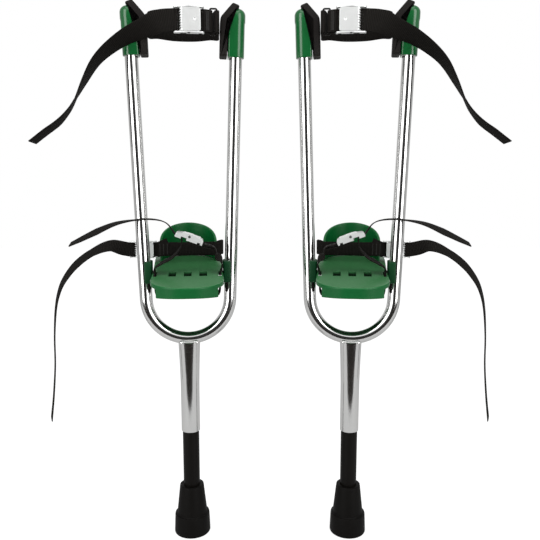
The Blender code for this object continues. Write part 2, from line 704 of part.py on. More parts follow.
def build_bracket(side, end, stilt, sign, seat, materials):
    """A saddle between the plate's edge and one arm, hollowed to hug the tube."""
    bottom, top = PLATE_HEIGHT - BRACKET_DROP, PLATE_HEIGHT + BRACKET_RISE
    inner = PLATE_HALF + GAP
    half = BRACKET_DEPTH / 2
    ends = sorted((sign * inner, sign * arm_x(bottom)))
    bm = box((ends[0], -half, bottom), (ends[1], half, top))
    soften(bm, BRACKET_EDGE, lambda co: abs(co.x) > inner + GAP)
    bracket = add_object(side + end + "bracket", bm, stilt, materials["dark_green"])
    combine(bracket, seat)


def build_buckle(side, name, stilt, matrix, width, materials):
    """A cam buckle for webbing of this width: channel body, lever and pin, in the buckle's own frame."""
    frame = add_empty(side + name + "buckle_frame", stilt, matrix)
    inside = width / 2 + BUCKLE_SIDE_GAP
    outside = inside + BUCKLE_WALL
    profile = rounded([
        (-BUCKLE_TAIL, 0, 0),
        (BUCKLE_NOSE, 0, BUCKLE_BASE),
        (BUCKLE_NOSE, BUCKLE_NOSE_HEIGHT, CHEEK_ROUND),
        (PIN_WALL, BUCKLE_HEIGHT, PIN_WALL),
        (-PIN_WALL, BUCKLE_HEIGHT, PIN_WALL),
        (-BUCKLE_TAIL, BUCKLE_TAIL_HEIGHT, CHEEK_ROUND),
    ], steps=2)
    body = prism(profile, [(-outside, 0), (outside, 0)], upright=False)
    body = add_object(side + name + "buckle", body, frame, materials["zinc"])
    channel = box((-2 * BUCKLE_TAIL, -inside, BUCKLE_BASE), (2 * BUCKLE_NOSE, inside, 2 * BUCKLE_HEIGHT))
    combine(body, add_object(side + name + "channel", channel, frame))
    slots = bmesh.new()
    bar = BUCKLE_BAR - BUCKLE_TAIL
    for back, nose, notch in (
        (bar, bar + BUCKLE_ANCHOR_SLOT, BUCKLE_ANCHOR_NOTCH),
        (BUCKLE_WEB_SLOT_BACK, BUCKLE_WEB_SLOT_NOSE, BUCKLE_WEB_NOTCH),
    ):
        add_box(slots, (back, -2 * outside, -BUCKLE_BASE), (nose, 2 * outside, notch))
    combine(body, add_object(side + name + "buckle_slots", slots, frame))
    reach = outside + PIN_HEAD
    hole = rod(PIN_RADIUS + GAP, (0, -2 * reach, PIN_HEIGHT), (0, 2 * reach, PIN_HEIGHT), SCREW_STEPS)
    combine(body, add_object(side + name + "pin_hole", hole, frame))
    pin = rod(PIN_RADIUS, (0, -reach, PIN_HEIGHT), (0, reach, PIN_HEIGHT), SCREW_STEPS)
    add_object(side + name + "pin", pin, frame, materials["zinc"])

    pivot = add_empty(side + name + "pivot", frame, Matrix.Translation((0, 0, PIN_HEIGHT)))
    tip = BUCKLE_BASE + LAYER + 2 * GAP - PIN_HEIGHT
    thumb = LEVER_RISE - LEVER_PLATE
    profile = rounded([
        (LEVER_NOSE - LEVER_PLATE, tip, 0),
        (LEVER_NOSE, tip, 0),
        (LEVER_NOSE - LEVER_PLATE, LEVER_RISE, LEVER_BROW),
        (-LEVER_THUMB, LEVER_RISE, LEVER_PLATE / 2),
        (-LEVER_THUMB, thumb, LEVER_PLATE / 3),
        (-LEVER_HUB, thumb, LEVER_PLATE / 2),
        (-LEVER_HUB, -LEVER_HUB, LEVER_HUB),
        (LEVER_HUB, -LEVER_HUB, 0),
    ], steps=2)
    half = inside - LEVER_SIDE_GAP
    lever = prism(profile, [(-half, 0), (half, 0)], upright=False)
    lever = add_object(side + name + "lever", lever, pivot, materials["zinc"])
    bore = rod(PIN_RADIUS + GAP, (0, -reach, 0), (0, reach, 0), SCREW_STEPS)
    combine(lever, add_object(side + name + "lever_bore", bore, pivot))
    notches = bmesh.new()
    count = int(2 * half / TOOTH_PITCH)
    for k in range(count):
        place = Matrix.Translation((LEVER_NOSE + NOTCH_OUT, (k + 0.5 - count / 2) * TOOTH_PITCH, tip))
        bmesh.ops.create_cone(
            notches, cap_ends=True, segments=4, radius1=NOTCH_RADIUS, radius2=NOTCH_RADIUS,
            depth=2 * LEVER_RISE, matrix=place
        )
    combine(lever, add_object(side + name + "notches", notches, pivot))


def thread(approach, start):
    """(x, z) points of webbing coming up through the slot and back over the base, under the lever's teeth."""
    edge = BUCKLE_WEB_SLOT_NOSE + GAP
    turn = arc((edge, MID_BASE), WRAP_RADIUS, start, 90, WRAP_STEPS)
    return [(edge + x, z) for x, z in approach] + turn + [(THREAD_END, MID_BASE + WRAP_RADIUS)]


def sewn_end(kick=0):
    """Points of webbing sewn back on itself round the anchor bar, its cut end pushed aside by the kick."""
    turn = arc((BAR_CENTRE + BUCKLE_BAR / 2, MID_BASE), WRAP_RADIUS, -90, 90, WRAP_STEPS)
    past_bar = -BUCKLE_TAIL - WRAP_RADIUS
    over = MID_BASE + WRAP_RADIUS
    under = MID_BASE - WRAP_RADIUS
    cut_end = [(past_bar - SEWN_LAP, kick, over - LAYER - GAP), (past_bar, under)]
    return cut_end + turn + [(past_bar, over), (past_bar - SEWN_LAP, over)]


def build_calf_webbing(side, stilt, materials):
    up = (0, 0, 1)
    place = Vector((CALF_BUCKLE_X, CALF_BUCKLE_Y, CALF_HEIGHT))
    buckle = frame_at(place, (1, 0, 0), (0, -1, 0))
    build_buckle(side, "calf_", stilt, buckle, CALF_WEB, materials)

    line = pad_face_x(CALF_HEIGHT - CALF_WEB / 2) - LAYER
    wrap = RING_WIRE / 2 + LAYER / 2 + 2 * GAP
    bar = -line + wrap
    middle = bar + RING_WIDTH / 2
    height = CALF_WEB + 2 * RING_CORNER + RING_SLACK
    points = rounded([
        (x * RING_WIDTH / 2, z * height / 2, RING_CORNER)
        for x, z in ((1, -1), (1, 1), (-1, 1), (-1, -1))
    ], steps=2)
    points = [(middle + x, RING_Y, CALF_HEIGHT + z) for x, z in points]
    add_object(side + "calf_ring", swept(points, RING_WIRE / 2, 2, closed=True), stilt, materials["black"])

    pad_edge = PAD_WIDTH / 2
    loop = [(bar + wrap, RING_Y + pad_edge, 0)]
    loop += [(x, y, 0) for x, y in arc((bar, RING_Y), wrap, 0, -180, WRAP_STEPS)]
    loop += [(-line, 0, 0), (-line, pad_edge, 0)]
    loop += [(share * line, y, CALF_BACK_RISE) for share, y in CALF_BACK]
    loop += [(line, pad_edge, 0), (line, 0, 0)]
    loop += [(share * line, y, 0) for share, y in CALF_FRONT]
    route = [(Vector((x, y, CALF_HEIGHT + rise)), up) for x, y, rise in loop]
    nose = BUCKLE_NOSE - BUCKLE_WEB_SLOT_NOSE
    behind = MID_BASE - WRAP_RADIUS
    route += in_frame(buckle, thread([(nose, behind), (nose / 2, behind)], CALF_ENTRY))
    webbing(side + "calf_strap", route, CALF_WEB, stilt, materials["webbing"])

    ring_x = middle + RING_WIDTH / 2 - CALF_BUCKLE_X
    ring_z = CALF_BUCKLE_Y - RING_Y
    past_bar = -BUCKLE_TAIL - WRAP_RADIUS
    around = arc((BAR_CENTRE + BUCKLE_BAR / 2, MID_BASE), WRAP_RADIUS, -90, 90, WRAP_STEPS)
    around += [(past_bar, MID_BASE + WRAP_RADIUS)]
    around += arc((ring_x, ring_z), wrap, 90, 270, WRAP_STEPS)
    around += [(past_bar, MID_BASE - WRAP_RADIUS)]
    webbing(
        side + "calf_anchor_strap", in_frame(buckle, around), CALF_WEB, stilt, materials["webbing"], closed=True
    )
    build_tail(side + "calf_tail", CALF_TAIL, CALF_WEB, buckle, stilt, materials)


def build_tail(name, points, width, buckle, stilt, materials):
    """The free webbing past a buckle's teeth, on its hand-chosen route."""
    start = THREAD_END + GAP
    straight = [start, (start + BUCKLE_NOSE) / 2, BUCKLE_NOSE]
    route = in_frame(buckle, [(x, MID_BASE + WRAP_RADIUS) for x in straight])
    route += [(buckle.translation + Vector(place), across) for place, across in points]
    webbing(name, route, width, stilt, materials["webbing"])


def build_toe_webbing(side, stilt, materials):
    slope = Vector((cos(TOE_BUCKLE_SLOPE), 0, sin(TOE_BUCKLE_SLOPE)))
    plate = plate_frame()
    row = (plate @ Vector((0, SLOT_ROW, 0))).y
    place = Vector((TOE_BUCKLE_X, row, PLATE_HEIGHT + TOE_BUCKLE_RISE))
    buckle = frame_at(place, slope, (-slope.z, 0, slope.x))
    build_buckle(side, "toe_", stilt, buckle, TOE_WEB, materials)

    level = Matrix.Translation((0, row, PLATE_HEIGHT))
    route = in_frame(buckle, sewn_end())
    route += [(level @ Vector((inset - SIDE_SLOT_X, 0, rise)), (0, 1, lean)) for inset, rise, lean in TOE_INNER]
    under = -SKIRT_TOE_DEPTH - LAYER - TOE_SLACK
    leg = [(SIDE_SLOT_X, 0), (SIDE_SLOT_X, -PLATE_THICKNESS), (SIDE_SLOT_X, under + TOE_TUCK)]
    leg += [(PLATE_TOE_HALF, under), (PLATE_TOE_HALF / 2, under)]
    below = [(-x, SLOT_ROW, z) for x, z in leg] + [(x, SLOT_ROW, z) for x, z in reversed(leg)]
    route += in_frame(plate, below)
    route += [(level @ Vector((SIDE_SLOT_X - inset, 0, rise)), (0, 1, lean)) for inset, rise, lean in TOE_ARCH]
    route += in_frame(buckle, thread(TOE_APPROACH, TOE_ENTRY))
    webbing(side + "toe_strap", route, TOE_WEB, stilt, materials["webbing"])
    build_tail(side + "toe_tail", TOE_TAIL, TOE_WEB, buckle, stilt, materials)


def build_ankle_webbing(side, stilt, materials):
    plate = plate_frame()
    place = Vector((ARM_AT_PLATE + ANKLE_BUCKLE_OUT, ANKLE_BUCKLE_Y, PLATE_HEIGHT + ANKLE_BUCKLE_RISE))
    buckle = frame_at(place, (1, 0, 0), (0, -1, 0))
    build_buckle(side, "ankle_", stilt, buckle, ANKLE_WEB, materials)
    reach = CUP_RADIUS + CUP_WALL / 2 + LAYER
    height = (plate.inverted() @ place).z
    low = height - ANKLE_BACK_DROP
    around = [(share * reach, y, height) for share, y in ANKLE_FRONT]
    around += [(reach * sin(radians(angle)), reach * cos(radians(angle)), low) for angle in ANKLE_BACK]
    around.append((ANKLE_OUTER[0] * reach, ANKLE_OUTER[1], low))
    route = in_frame(buckle, sewn_end(ANKLE_LAP_KICK))
    route += in_frame(plate, [(x, CUP_CENTRE + y, z) for x, y, z in around], across=(0, 0, 1))
    route += in_frame(buckle, thread(ANKLE_APPROACH, ANKLE_ENTRY))
    webbing(side + "ankle_strap", route, ANKLE_WEB, stilt, materials["webbing"])
    build_tail(side + "ankle_tail", ANKLE_TAIL, ANKLE_WEB, buckle, stilt, materials)


def build_stilt(side, materials, matrix):
    stilt = add_empty(side + "stilt", matrix=matrix)
    seat = build_frame(side, stilt, materials)
    build_peg(side, stilt, seat, materials)
    build_plate(side, stilt, materials)
    for end, sign in (("outer_", 1), ("inner_", -1)):
        build_arm_end(side, end, stilt, sign, materials)
        build_bracket(side, end, stilt, sign, seat, materials)
    build_calf_webbing(side, stilt, materials)
    build_toe_webbing(side, stilt, materials)
    build_ankle_webbing(side, stilt, materials)


def main():
    clear_scene()
    materials = make_materials()
    for side, sign in (("left_", -1), ("right_", 1)):
        place = Matrix.Translation((sign * STANCE / 2, CENTRE_SHIFT, 0))
        turn = Matrix.Rotation(-sign * TOE_IN, 4, "Z")
        build_stilt(side, materials, place @ turn @ Matrix.Diagonal((sign, 1, 1, 1)))


main()
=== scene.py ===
"""Dresses a pair of peg stilts: chromed frames, moulded plates and caps, foam pads and woven webbing."""

from math import asin, cos, pi, radians, sin, sqrt, tan
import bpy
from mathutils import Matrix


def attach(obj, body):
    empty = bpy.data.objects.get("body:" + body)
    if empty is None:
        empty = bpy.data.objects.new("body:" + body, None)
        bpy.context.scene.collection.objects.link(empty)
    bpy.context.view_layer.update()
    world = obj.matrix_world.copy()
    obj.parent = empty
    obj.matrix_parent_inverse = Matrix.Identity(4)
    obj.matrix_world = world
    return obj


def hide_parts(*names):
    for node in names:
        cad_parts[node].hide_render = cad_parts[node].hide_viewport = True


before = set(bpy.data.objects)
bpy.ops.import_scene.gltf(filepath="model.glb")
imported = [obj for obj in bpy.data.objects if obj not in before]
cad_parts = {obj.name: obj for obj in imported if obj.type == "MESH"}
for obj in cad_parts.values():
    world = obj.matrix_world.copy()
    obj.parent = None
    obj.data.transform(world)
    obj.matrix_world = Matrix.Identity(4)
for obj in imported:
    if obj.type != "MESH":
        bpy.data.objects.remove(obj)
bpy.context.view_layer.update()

from types import SimpleNamespace

import bmesh
import bpy
from bpy.props import FloatProperty, FloatVectorProperty, PointerProperty
from mathutils import Matrix, Vector

bl_info = {
    "name": "Peg stilts",
    "version": (1, 0, 0),
    "blender": (4, 5, 0),
    "location": "View3D > Sidebar > Peg stilts",
    "description": "Dresses a pair of peg stilts with chrome, moulded plastic, foam and webbing",
    "category": "Object",
}

# Each stilt is modelled once in its own frame, +X outward and -Y to the toe, then set down on both sides.
SIDES = (("left_", -1), ("right_", 1))
# Clearance between pieces, and how near two places are that count as one.
GAP = 0.0003

# Corners nearer than this are merged.
MERGE = 0.00001

# How finely round things are stepped.
TURNED_STEPS = 72
FOOT_STEPS = 64
SCREW_STEPS = 32
PIN_STEPS = 24
BEND_STEPS = 64
ARM_SPANS = 6
CORNER_STEPS = 12
NOSE_STEPS = 16
STRAP_STEPS = 6
TAIL_STEPS = 8

# What the chrome mirrors: from straight behind the camera to straight ahead, and how dark the room is below.
MIRRORED = ((0, 0.03), (0.035, 0.03), (0.055, 0.9), (0.16, 1.0), (0.25, 0.42), (0.75, 0.42), (0.95, 0.7), (1, 1.0))
ROOM = ((0, 0.0), (0.36, 0.0), (0.43, 1.0), (1, 1.0))
ROOM_DARK = (0.02, 0.017, 0.015)

# How strongly the white world lights what isn't a mirror.
WORLD_SOFT = 0.62

# The floor: its side and place, and its glow to the camera and to the chrome.
FLOOR_SIDE = 5
FLOOR_PLACE = (0, 1.95, -0.0004)
FLOOR_GLOW = 0.82
MIRROR_GLOW = 0.2

# Lamps: name, place, what each faces, its size and its watts.
LAMPS = (
    ("top_light", (0, -0.5, 2.2), (0, 0, 0.5), (1.6, 1.2), 9),
    ("left_light", (-1.05, -1.15, 0.85), (0, 0, 0.6), (0.8, 1.7), 12),
    ("right_light", (1.05, -1.15, 0.85), (0, 0, 0.6), (0.8, 1.7), 12),
)

# The camera: its place, how far it looks down in degrees, and its lens and film in millimetres.
CAMERA_PLACE = (0, -0.9066, 0.541)
CAMERA_DIP = 7.8
LENS = 40
SENSOR = 36

# Marks on the plate's mesh for painted light: a painted shade on the walls down in its slots, and a painted sheen
# on its top.
PAINTED_SHADE, PAINTED_SHEEN = "sunk", "trodden"

# Webbing's way to its buckle: (x, z) from the slot's nose edge, and the angle in degrees at which it turns in.
TOE_APPROACH = ((-0.0034, -0.0047),)
ANKLE_APPROACH = ((-0.0025, -0.0140), (-0.0018, -0.0050))
CALF_ENTRY = 270
TOE_ENTRY = 200
ANKLE_ENTRY = 190

# Calf webbing round the leg: shares of the pads' half gap, with y, and how much higher it sits behind.
CALF_BACK = ((-0.81, 0.034), (-0.32, 0.046), (0.32, 0.046), (0.81, 0.034))
CALF_BACK_RISE = 0.005
CALF_FRONT = ((0.95, -0.016), (0.645, -0.027))

# Toe webbing over the foot: in from the side slots, above the plate, and how steeply its width leans.
TOE_INNER = (
    (0.0044, 0.0250, 0.75),
    (-0.0012, 0.0190, 0.5),
    (-0.0035, 0.0120, 0.25),
    (-0.0027, 0.0060, 0),
)
TOE_ARCH = (
    (-0.0005, 0.0065, 0),
    (0.0085, 0.0135, 0.08),
    (0.0232, 0.0215, 0.12),
    (0.0312, 0.0287, 0.12),
    (0.0385, 0.0385, 0.06),
)
TOE_TUCK = 0.007
TOE_SLACK = 0.0135

# Ankle webbing round the cup: shares of the cup's reach with y from its centre, and degrees behind it.
ANKLE_FRONT = (
    (0.30, -0.0085),
    (-0.15, -0.0065),
    (-0.585, -0.006),
    (-0.935, -0.0055),
    (-1.14, 0),
    (-1.14, 0.009),
)
ANKLE_BACK = (-56, -28, 0, 28, 56)
ANKLE_OUTER = (1.165, 0.018)
ANKLE_BACK_DROP = 0.008
ANKLE_LAP_KICK = 0.007

# Free webbing ends: places given from the buckle, each with the direction of the webbing's width.
CALF_TAIL = (
    ((0.0415, -0.0015, -0.0028), (0.19, -0.20, 0.95)),
    ((0.0608, 0.0015, -0.0111), (0.27, -0.60, 0.59)),
    ((0.0874, 0.0055, -0.0227), (0.20, -0.76, 0.40)),
    ((0.1120, 0.0075, -0.0396), (0.20, -0.85, 0.23)),
    ((0.1293, 0.0095, -0.0565), (0.18, -0.91, 0.08)),
    ((0.1448, 0.0125, -0.0806), (0.06, -0.96, -0.02)),
    ((0.1580, 0.0145, -0.1040), (-0.13, -1.00, -0.10)),
    ((0.1685, 0.0165, -0.1204), (-0.06, -0.97, -0.02)),
    ((0.1842, 0.0185, -0.1371), (-0.03, -0.96, 0.11)),
    ((0.2023, 0.0205, -0.1501), (-0.05, -0.95, 0.16)),
    ((0.2217, 0.0215, -0.1648), (-0.07, -0.95, 0.17)),
)
TOE_TAIL = (
    ((0.0315, -0.0021, 0.0260), (0.06, 1.00, -0.06)),
    ((0.0505, -0.0061, 0.0315), (0.08, 1.00, -0.00)),
    ((0.0765, -0.0096, 0.0305), (0.11, 1.00, -0.00)),
    ((0.1025, -0.0101, 0.0255), (0.24, 1.00, 0.14)),
    ((0.1290, -0.0091, 0.0145), (0.37, 1.00, 0.28)),
    ((0.1510, -0.0081, 0.0040), (0.35, 1.00, 0.17)),
    ((0.1670, -0.0071, -0.0035), (0.31, 1.00, 0.06)),
)
ANKLE_TAIL = (
    ((0.0300, -0.0035, 0.0020), (0.02, 0.12, 0.99)),
    ((0.0500, -0.0050, 0.0065), (0.15, 0.66, 0.69)),
    ((0.0770, -0.0065, -0.0035), (0.30, 0.86, 0.39)),
    ((0.1010, -0.0075, -0.0210), (0.40, 0.86, 0.34)),
    ((0.1170, -0.0085, -0.0400), (0.42, 0.90, 0.20)),
    ((0.1270, -0.0085, -0.0580), (0.40, 0.95, 0.05)),
    ((0.1345, -0.0085, -0.0855), (0.36, 1.00, -0.19)),
    ((0.1390, -0.0085, -0.1310), (0.30, 1.00, -0.24)),
    ((0.1405, -0.0085, -0.1810), (0.30, 1.00, -0.29)),
    ((0.1450, -0.0085, -0.2310), (0.33, 1.00, -0.35)),
    ((0.1498, -0.0085, -0.2685), (0.36, 1.00, -0.39)),
)


def length(name, description, default):
    return FloatProperty(name=name, description=description, default=default, precision=4, unit="LENGTH")


def ratio(name, description, default):
    return FloatProperty(name=name, description=description, default=default, precision=3, unit="NONE")


def angle(name, description, default):
    return FloatProperty(name=name, description=description, default=radians(default), unit="ROTATION")


def colour(name, description, default):
    return FloatVectorProperty(
        name=name, description=description, default=default, min=0, max=1, size=3, subtype="COLOR"
    )


class FrameSizes(bpy.types.PropertyGroup):
    stance: length("Stance", "Between the two pegs", 0.247)
    toe_in: angle("Toe-in", "How far each stilt is turned inward", 6.4)
    setback: length("Setback", "Place of the pegs along Y", -0.0114)
    tube_od: length("Tube", "Outside diameter of the frame tube", 0.019)
    tube_wall: length("Tube wall", "Wall of the frame tube", 0.0015)
    bend_radius: length("Bend radius", "Radius of the bend's centreline", 0.063)
    bend_bottom: length("Bend height", "Height of the bend's lowest centre", 0.314)
    arm_lean: angle("Arm lean", "How far each arm leans outward", 1.83)
    arm_height: length("Arm height", "From the bend's bottom to the tube's ends", 0.462)
    sleeve_od: length("Sleeve", "Outside diameter of the peg's sleeve", 0.0286)
    sleeve_flare: length("Sleeve flare", "Diameter of the sleeve at the bend", 0.0332)
    sleeve_flare_length: length("Flare length", "How far down the sleeve flares", 0.075)
    sleeve_length: length("Sleeve length", "Whole length of the sleeve", 0.142)
    sleeve_saddle: length("Saddle", "How far the sleeve reaches up round the bend", 0.004)
    weld_bead: length("Weld bead", "Radius of the weld along the bend", 0.0017)
    peg_od: length("Peg", "Outside diameter of the peg", 0.0254)
    foot_base: length("Foot base", "Diameter of the rubber foot on the ground", 0.056)
    foot_collar: length("Foot collar", "Diameter at the top of the foot's collar", 0.054)
    foot_collar_height: length("Collar height", "Height of the foot's collar", 0.031)
    foot_cone_base: length("Cone base", "Diameter of the foot's cone at the collar", 0.047)
    foot_cone_top: length("Cone top", "Diameter of the foot's cone at its mouth", 0.0375)
    foot_height: length("Foot height", "Whole height of the rubber foot", 0.078)
    screw_radius: length("Screw", "Radius of the screw that holds the peg", 0.0025)
    screw_head: length("Screw head", "Radius of the screw's head", 0.0046)
    screw_head_height: length("Head height", "How far the screw's head stands out", 0.0026)
    screw_rise: length("Screw rise", "Screw above the sleeve's mouth", 0.022)


class EndSizes(bpy.types.PropertyGroup):
    cap_wall: length("Cap wall", "Cap round the tube", 0.0032)
    cap_face: length("Cap face", "Cap between the tube and the pad", 0.003)
    cap_corner: length("Cap corner", "Radius of the cap's corners by the pad", 0.003)
    cap_grip: length("Cap grip", "How far the cap reaches down the tube", 0.0495)
    cap_over: length("Cap over", "How far the cap stands above the tube", 0.0185)
    cap_lip_drop: length("Lip drop", "From the cap's top to its lip", 0.021)
    cap_lip: length("Lip", "How far the lip stands out", 0.0007)
    cap_dome: length("Dome", "Radius of the cap's rounded top", 0.0095)
    chamfer: angle("Chamfer", "How far the top of the pad folds outward", 40)
    pad_thickness: length("Pad thickness", "Foam pad", 0.0108)
    pad_width: length("Pad width", "Foam pad", 0.026)
    pad_flap: length("Pad flap", "Pad past its fold", 0.027)
    pad_edge: length("Pad edge", "Paler cut edge along the pad's bottom", 0.0022)


class PlateSizes(bpy.types.PropertyGroup):
    rise: length("Plate rise", "Plate's top above the bend's bottom", 0.103)
    tilt: angle("Plate tilt", "How far the toe tips down", 7)
    wing: length("Wing", "How far the middle stands out past the toe", 0.009)
    heel_flare: length("Heel flare", "How far the heel stands out past the brackets", 0.002)
    front: length("Front", "Plate ahead of the peg", 0.092)
    back: length("Back", "Plate behind the peg", 0.1113)
    toe_radius: length("Toe radius", "Corner radius of the sheet's toe", 0.045)
    heel_radius: length("Heel radius", "Corner radius at the heel", 0.028)
    thickness: length("Sheet", "Thickness of the plate's sheet", 0.006)
    crown: length("Crown", "Radius of the plate's upper edge", 0.002)
    skirt_inset: length("Skirt inset", "Skirt inside the plate's edge", 0.0002)
    skirt_toe: length("Skirt at the toe", "Skirt below the plate's top, at the toe", 0.0155)
    skirt_heel: length("Skirt at the heel", "Skirt below the plate's top, at the heel", 0.028)
    skirt_slope: ratio("Skirt slope", "How fast the skirt deepens behind the toe", 0.2)
    skirt_wall: length("Skirt wall", "Wall of the skirt", 0.003)
    rib_wall: length("Rib wall", "Ribs across the skirt's hollow", 0.0025)
    rib_setback: length("Rib setback", "Ribs away from the slots' ends", 0.006)
    rib_short: length("Rib short", "Ribs above the skirt's lower edge", 0.001)
    skirt_back_radius: length("Skirt back radius", "Corner radius of the skirt's heel", 0.024)
    slot_row: length("Slot row", "Middle of the slots along the plate", -0.017)
    slot_length: length("Slot length", "Length of each slot", 0.026)
    slot_width: length("Slot width", "Width of each middle slot", 0.0115)
    slot_pitch: length("Slot pitch", "Between the middle slots", 0.0227)
    side_slot_inset: length("Side slot inset", "Side slots from the plate's edge", 0.005)
    side_slot_width: length("Side slot width", "Width of each side slot", 0.0045)
    bracket_web: length("Bracket web", "Bracket between the plate and the tube", 0.0023)
    bracket_drop: length("Bracket drop", "Bracket below the plate's top", 0.0165)
    bracket_rise: length("Bracket rise", "Bracket above the plate's top", 0.016)
    bracket_depth: length("Bracket depth", "Bracket along the foot", 0.030)
    cup_inset: length("Cup inset", "Cup inside the plate's heel", 0.0113)
    cup_wall: length("Cup wall", "Wall of the heel cup", 0.004)
    cup_centre: length("Cup centre", "Middle of the cup behind the peg", 0.060)
    cup_side: length("Cup side", "Height of the cup at its sides", 0.030)
    cup_back: length("Cup back", "Height of the cup at the heel", 0.055)
    cup_flat: ratio("Cup flatness", "How flat the cup's rim runs, less being flatter", 0.64)


class WebSizes(bpy.types.PropertyGroup):
    thickness: length("Webbing", "Thickness of the webbing", 0.0016)
    calf: length("Calf webbing", "Width", 0.030)
    toe: length("Toe webbing", "Width", 0.022)
    ankle: length("Ankle webbing", "Width", 0.022)
    calf_drop: length("Calf drop", "Calf webbing below the tube's ends", 0.007)
    calf_x: length("Calf buckle", "Place across the leg", -0.0080)
    calf_y: length("Calf buckle depth", "Place ahead of the leg", -0.0315)
    toe_x: length("Toe buckle", "Place across the foot", -0.0015)
    toe_rise: length("Toe buckle rise", "Above the plate", 0.0475)
    toe_slope: angle("Toe buckle slope", "How far its nose points up", 20)
    ankle_out: length("Ankle buckle", "Outward from the arm", 0.0057)
    ankle_y: length("Ankle buckle depth", "Place behind the peg", 0.0505)
    ankle_rise: length("Ankle buckle rise", "Above the plate", 0.0285)
    stitch_length: length("Stitch length", "Each loop of thread along the strap", 0.0022)
    stitch_pitch: length("Stitch pitch", "Between the loops of a row", 0.0006)
    stitch_height: length("Stitch height", "How thick a row of thread is", 0.0007)
    stitch_inset: length("Stitch inset", "Rows inside the strap's edges", 0.0022)
    ring_wire: length("Ring wire", "Wire of the rectangular ring", 0.0024)
    ring_slack: length("Ring slack", "Room for the webbing in the ring", 0.0006)
    ring_width: length("Ring width", "Between the ring's bars", 0.0095)
    ring_corner: length("Ring corner", "Corner radius of the ring", 0.002)
    ring_y: length("Ring depth", "Place ahead of the leg", -0.0290)


class BuckleSizes(bpy.types.PropertyGroup):
    nose: length("Nose", "Buckle ahead of its pin", 0.0205)
    tail: length("Tail", "Buckle behind its pin", 0.0210)
    base: length("Base", "Sheet under the webbing", 0.0015)
    wall: length("Cheek", "Thickness of each cheek", 0.0015)
    side_gap: length("Side gap", "Between the webbing and a cheek", 0.0008)
    bar: length("Anchor bar", "Bar that the sewn webbing goes round", 0.003)
    anchor_slot: length("Anchor slot", "Slot ahead of the anchor bar", 0.0045)
    anchor_notch: length("Anchor notch", "How far the anchor slot rises into the cheeks", 0.0026)
    slot_back: length("Slot back", "Back of the webbing's slot, ahead of the pin", 0.003)
    slot_nose: length("Slot nose", "Edge that the webbing turns round", 0.0115)
    slot_notch: length("Slot notch", "How far the webbing's slot rises into the cheeks", 0.0032)
    height: length("Height", "Cheeks at the pin", 0.0105)
    nose_height: length("Nose height", "Cheeks at the nose", 0.0068)
    tail_height: length("Tail height", "Cheeks at the tail", 0.0085)
    cheek_round: length("Cheek corner", "Corner radius of the cheeks", 0.0035)
    edge: length("Edge", "Rounding of the sheet's edges", 0.00025)
    pin_radius: length("Pin", "Radius of the lever's pin", 0.0013)
    pin_height: length("Pin height", "Pin above the base", 0.0066)
    pin_wall: length("Pin wall", "Cheek round the pin", 0.003)
    pin_head: length("Pin head", "How far the pin stands out of a cheek", 0.001)
    hub: length("Hub", "Lever round its pin", 0.0024)
    lever_gap: length("Lever gap", "Between the lever and a cheek", 0.0005)
    lever_nose: length("Lever nose", "Teeth ahead of the pin", 0.0128)
    lever_brow: length("Lever brow", "Radius over the teeth", 0.0045)
    lever_thumb: length("Thumb plate", "Lever behind the pin", 0.0165)
    lever_corner: length("Thumb corner", "Corner radius of the thumb plate", 0.004)
    lever_rise: length("Lever rise", "Lever's top above the pin", 0.0036)
    lever_plate: length("Lever sheet", "Thickness of the thumb plate", 0.0016)
    dimple: length("Dimple", "Place of the thumb plate's dimple behind the pin", 0.0085)
    dimple_ball: length("Dimple ball", "Radius of the ball that the dimple is pressed with", 0.004)
    dimple_depth: length("Dimple depth", "Depth of the thumb plate's dimple", 0.0005)
    tooth_pitch: length("Tooth pitch", "Between the teeth", 0.0034)
    tooth_depth: length("Tooth depth", "Length of the diamond that is cut between two teeth", 0.0092)
    tooth_out: length("Tooth notch", "Middle of a notch ahead of the teeth", 0.0004)
    thread_end: length("Thread end", "Where the webbing passes under the teeth", 0.0150)
    wrap: length("Wrap", "Radius of a turn round a bar", 0.002)
    sewn_lap: length("Sewn lap", "Length of webbing sewn back on itself", 0.017)


class Finishes(bpy.types.PropertyGroup):
    chrome: colour("Chrome", "Bright plate on the frame", (0.86, 0.86, 0.85))
    green: colour("Green", "Caps, plate and heel cup", (0.001, 0.108, 0.022))
    # A painted sheen: the paler top of the plate stands for the studio's grazing reflection, painted into its
    # colour.
    trodden: colour("Trodden green", "Top of the plate, dulled by its grain", (0.045, 0.185, 0.065))
    bracket: colour("Bracket green", "Brackets between plate and arms", (0.002, 0.046, 0.013))
    webbing: colour("Webbing", "Woven straps", (0.0018, 0.0016, 0.0014))
    # The paler high threads are partly the weave and partly a painted highlight where the webbing's ribs catch the
    # light.
    thread: colour("Thread", "High threads of the weave and stitches", (0.019, 0.017, 0.015))
    foam: colour("Foam", "Leg pads", (0.0075, 0.0056, 0.0046))
    foam_edge: colour("Foam edge", "Cut lower edge of the leg pads", (0.060, 0.055, 0.052))
    rubber: colour("Rubber", "Feet", (0.0028, 0.0024, 0.0020))
    paint: colour("Paint", "Pegs and rings", (0.0034, 0.0028, 0.0022))
    zinc: colour("Zinc", "Buckles, pins and screws", (0.88, 0.89, 0.88))
    floor: colour("Floor", "Studio floor", (0.36, 0.36, 0.36))


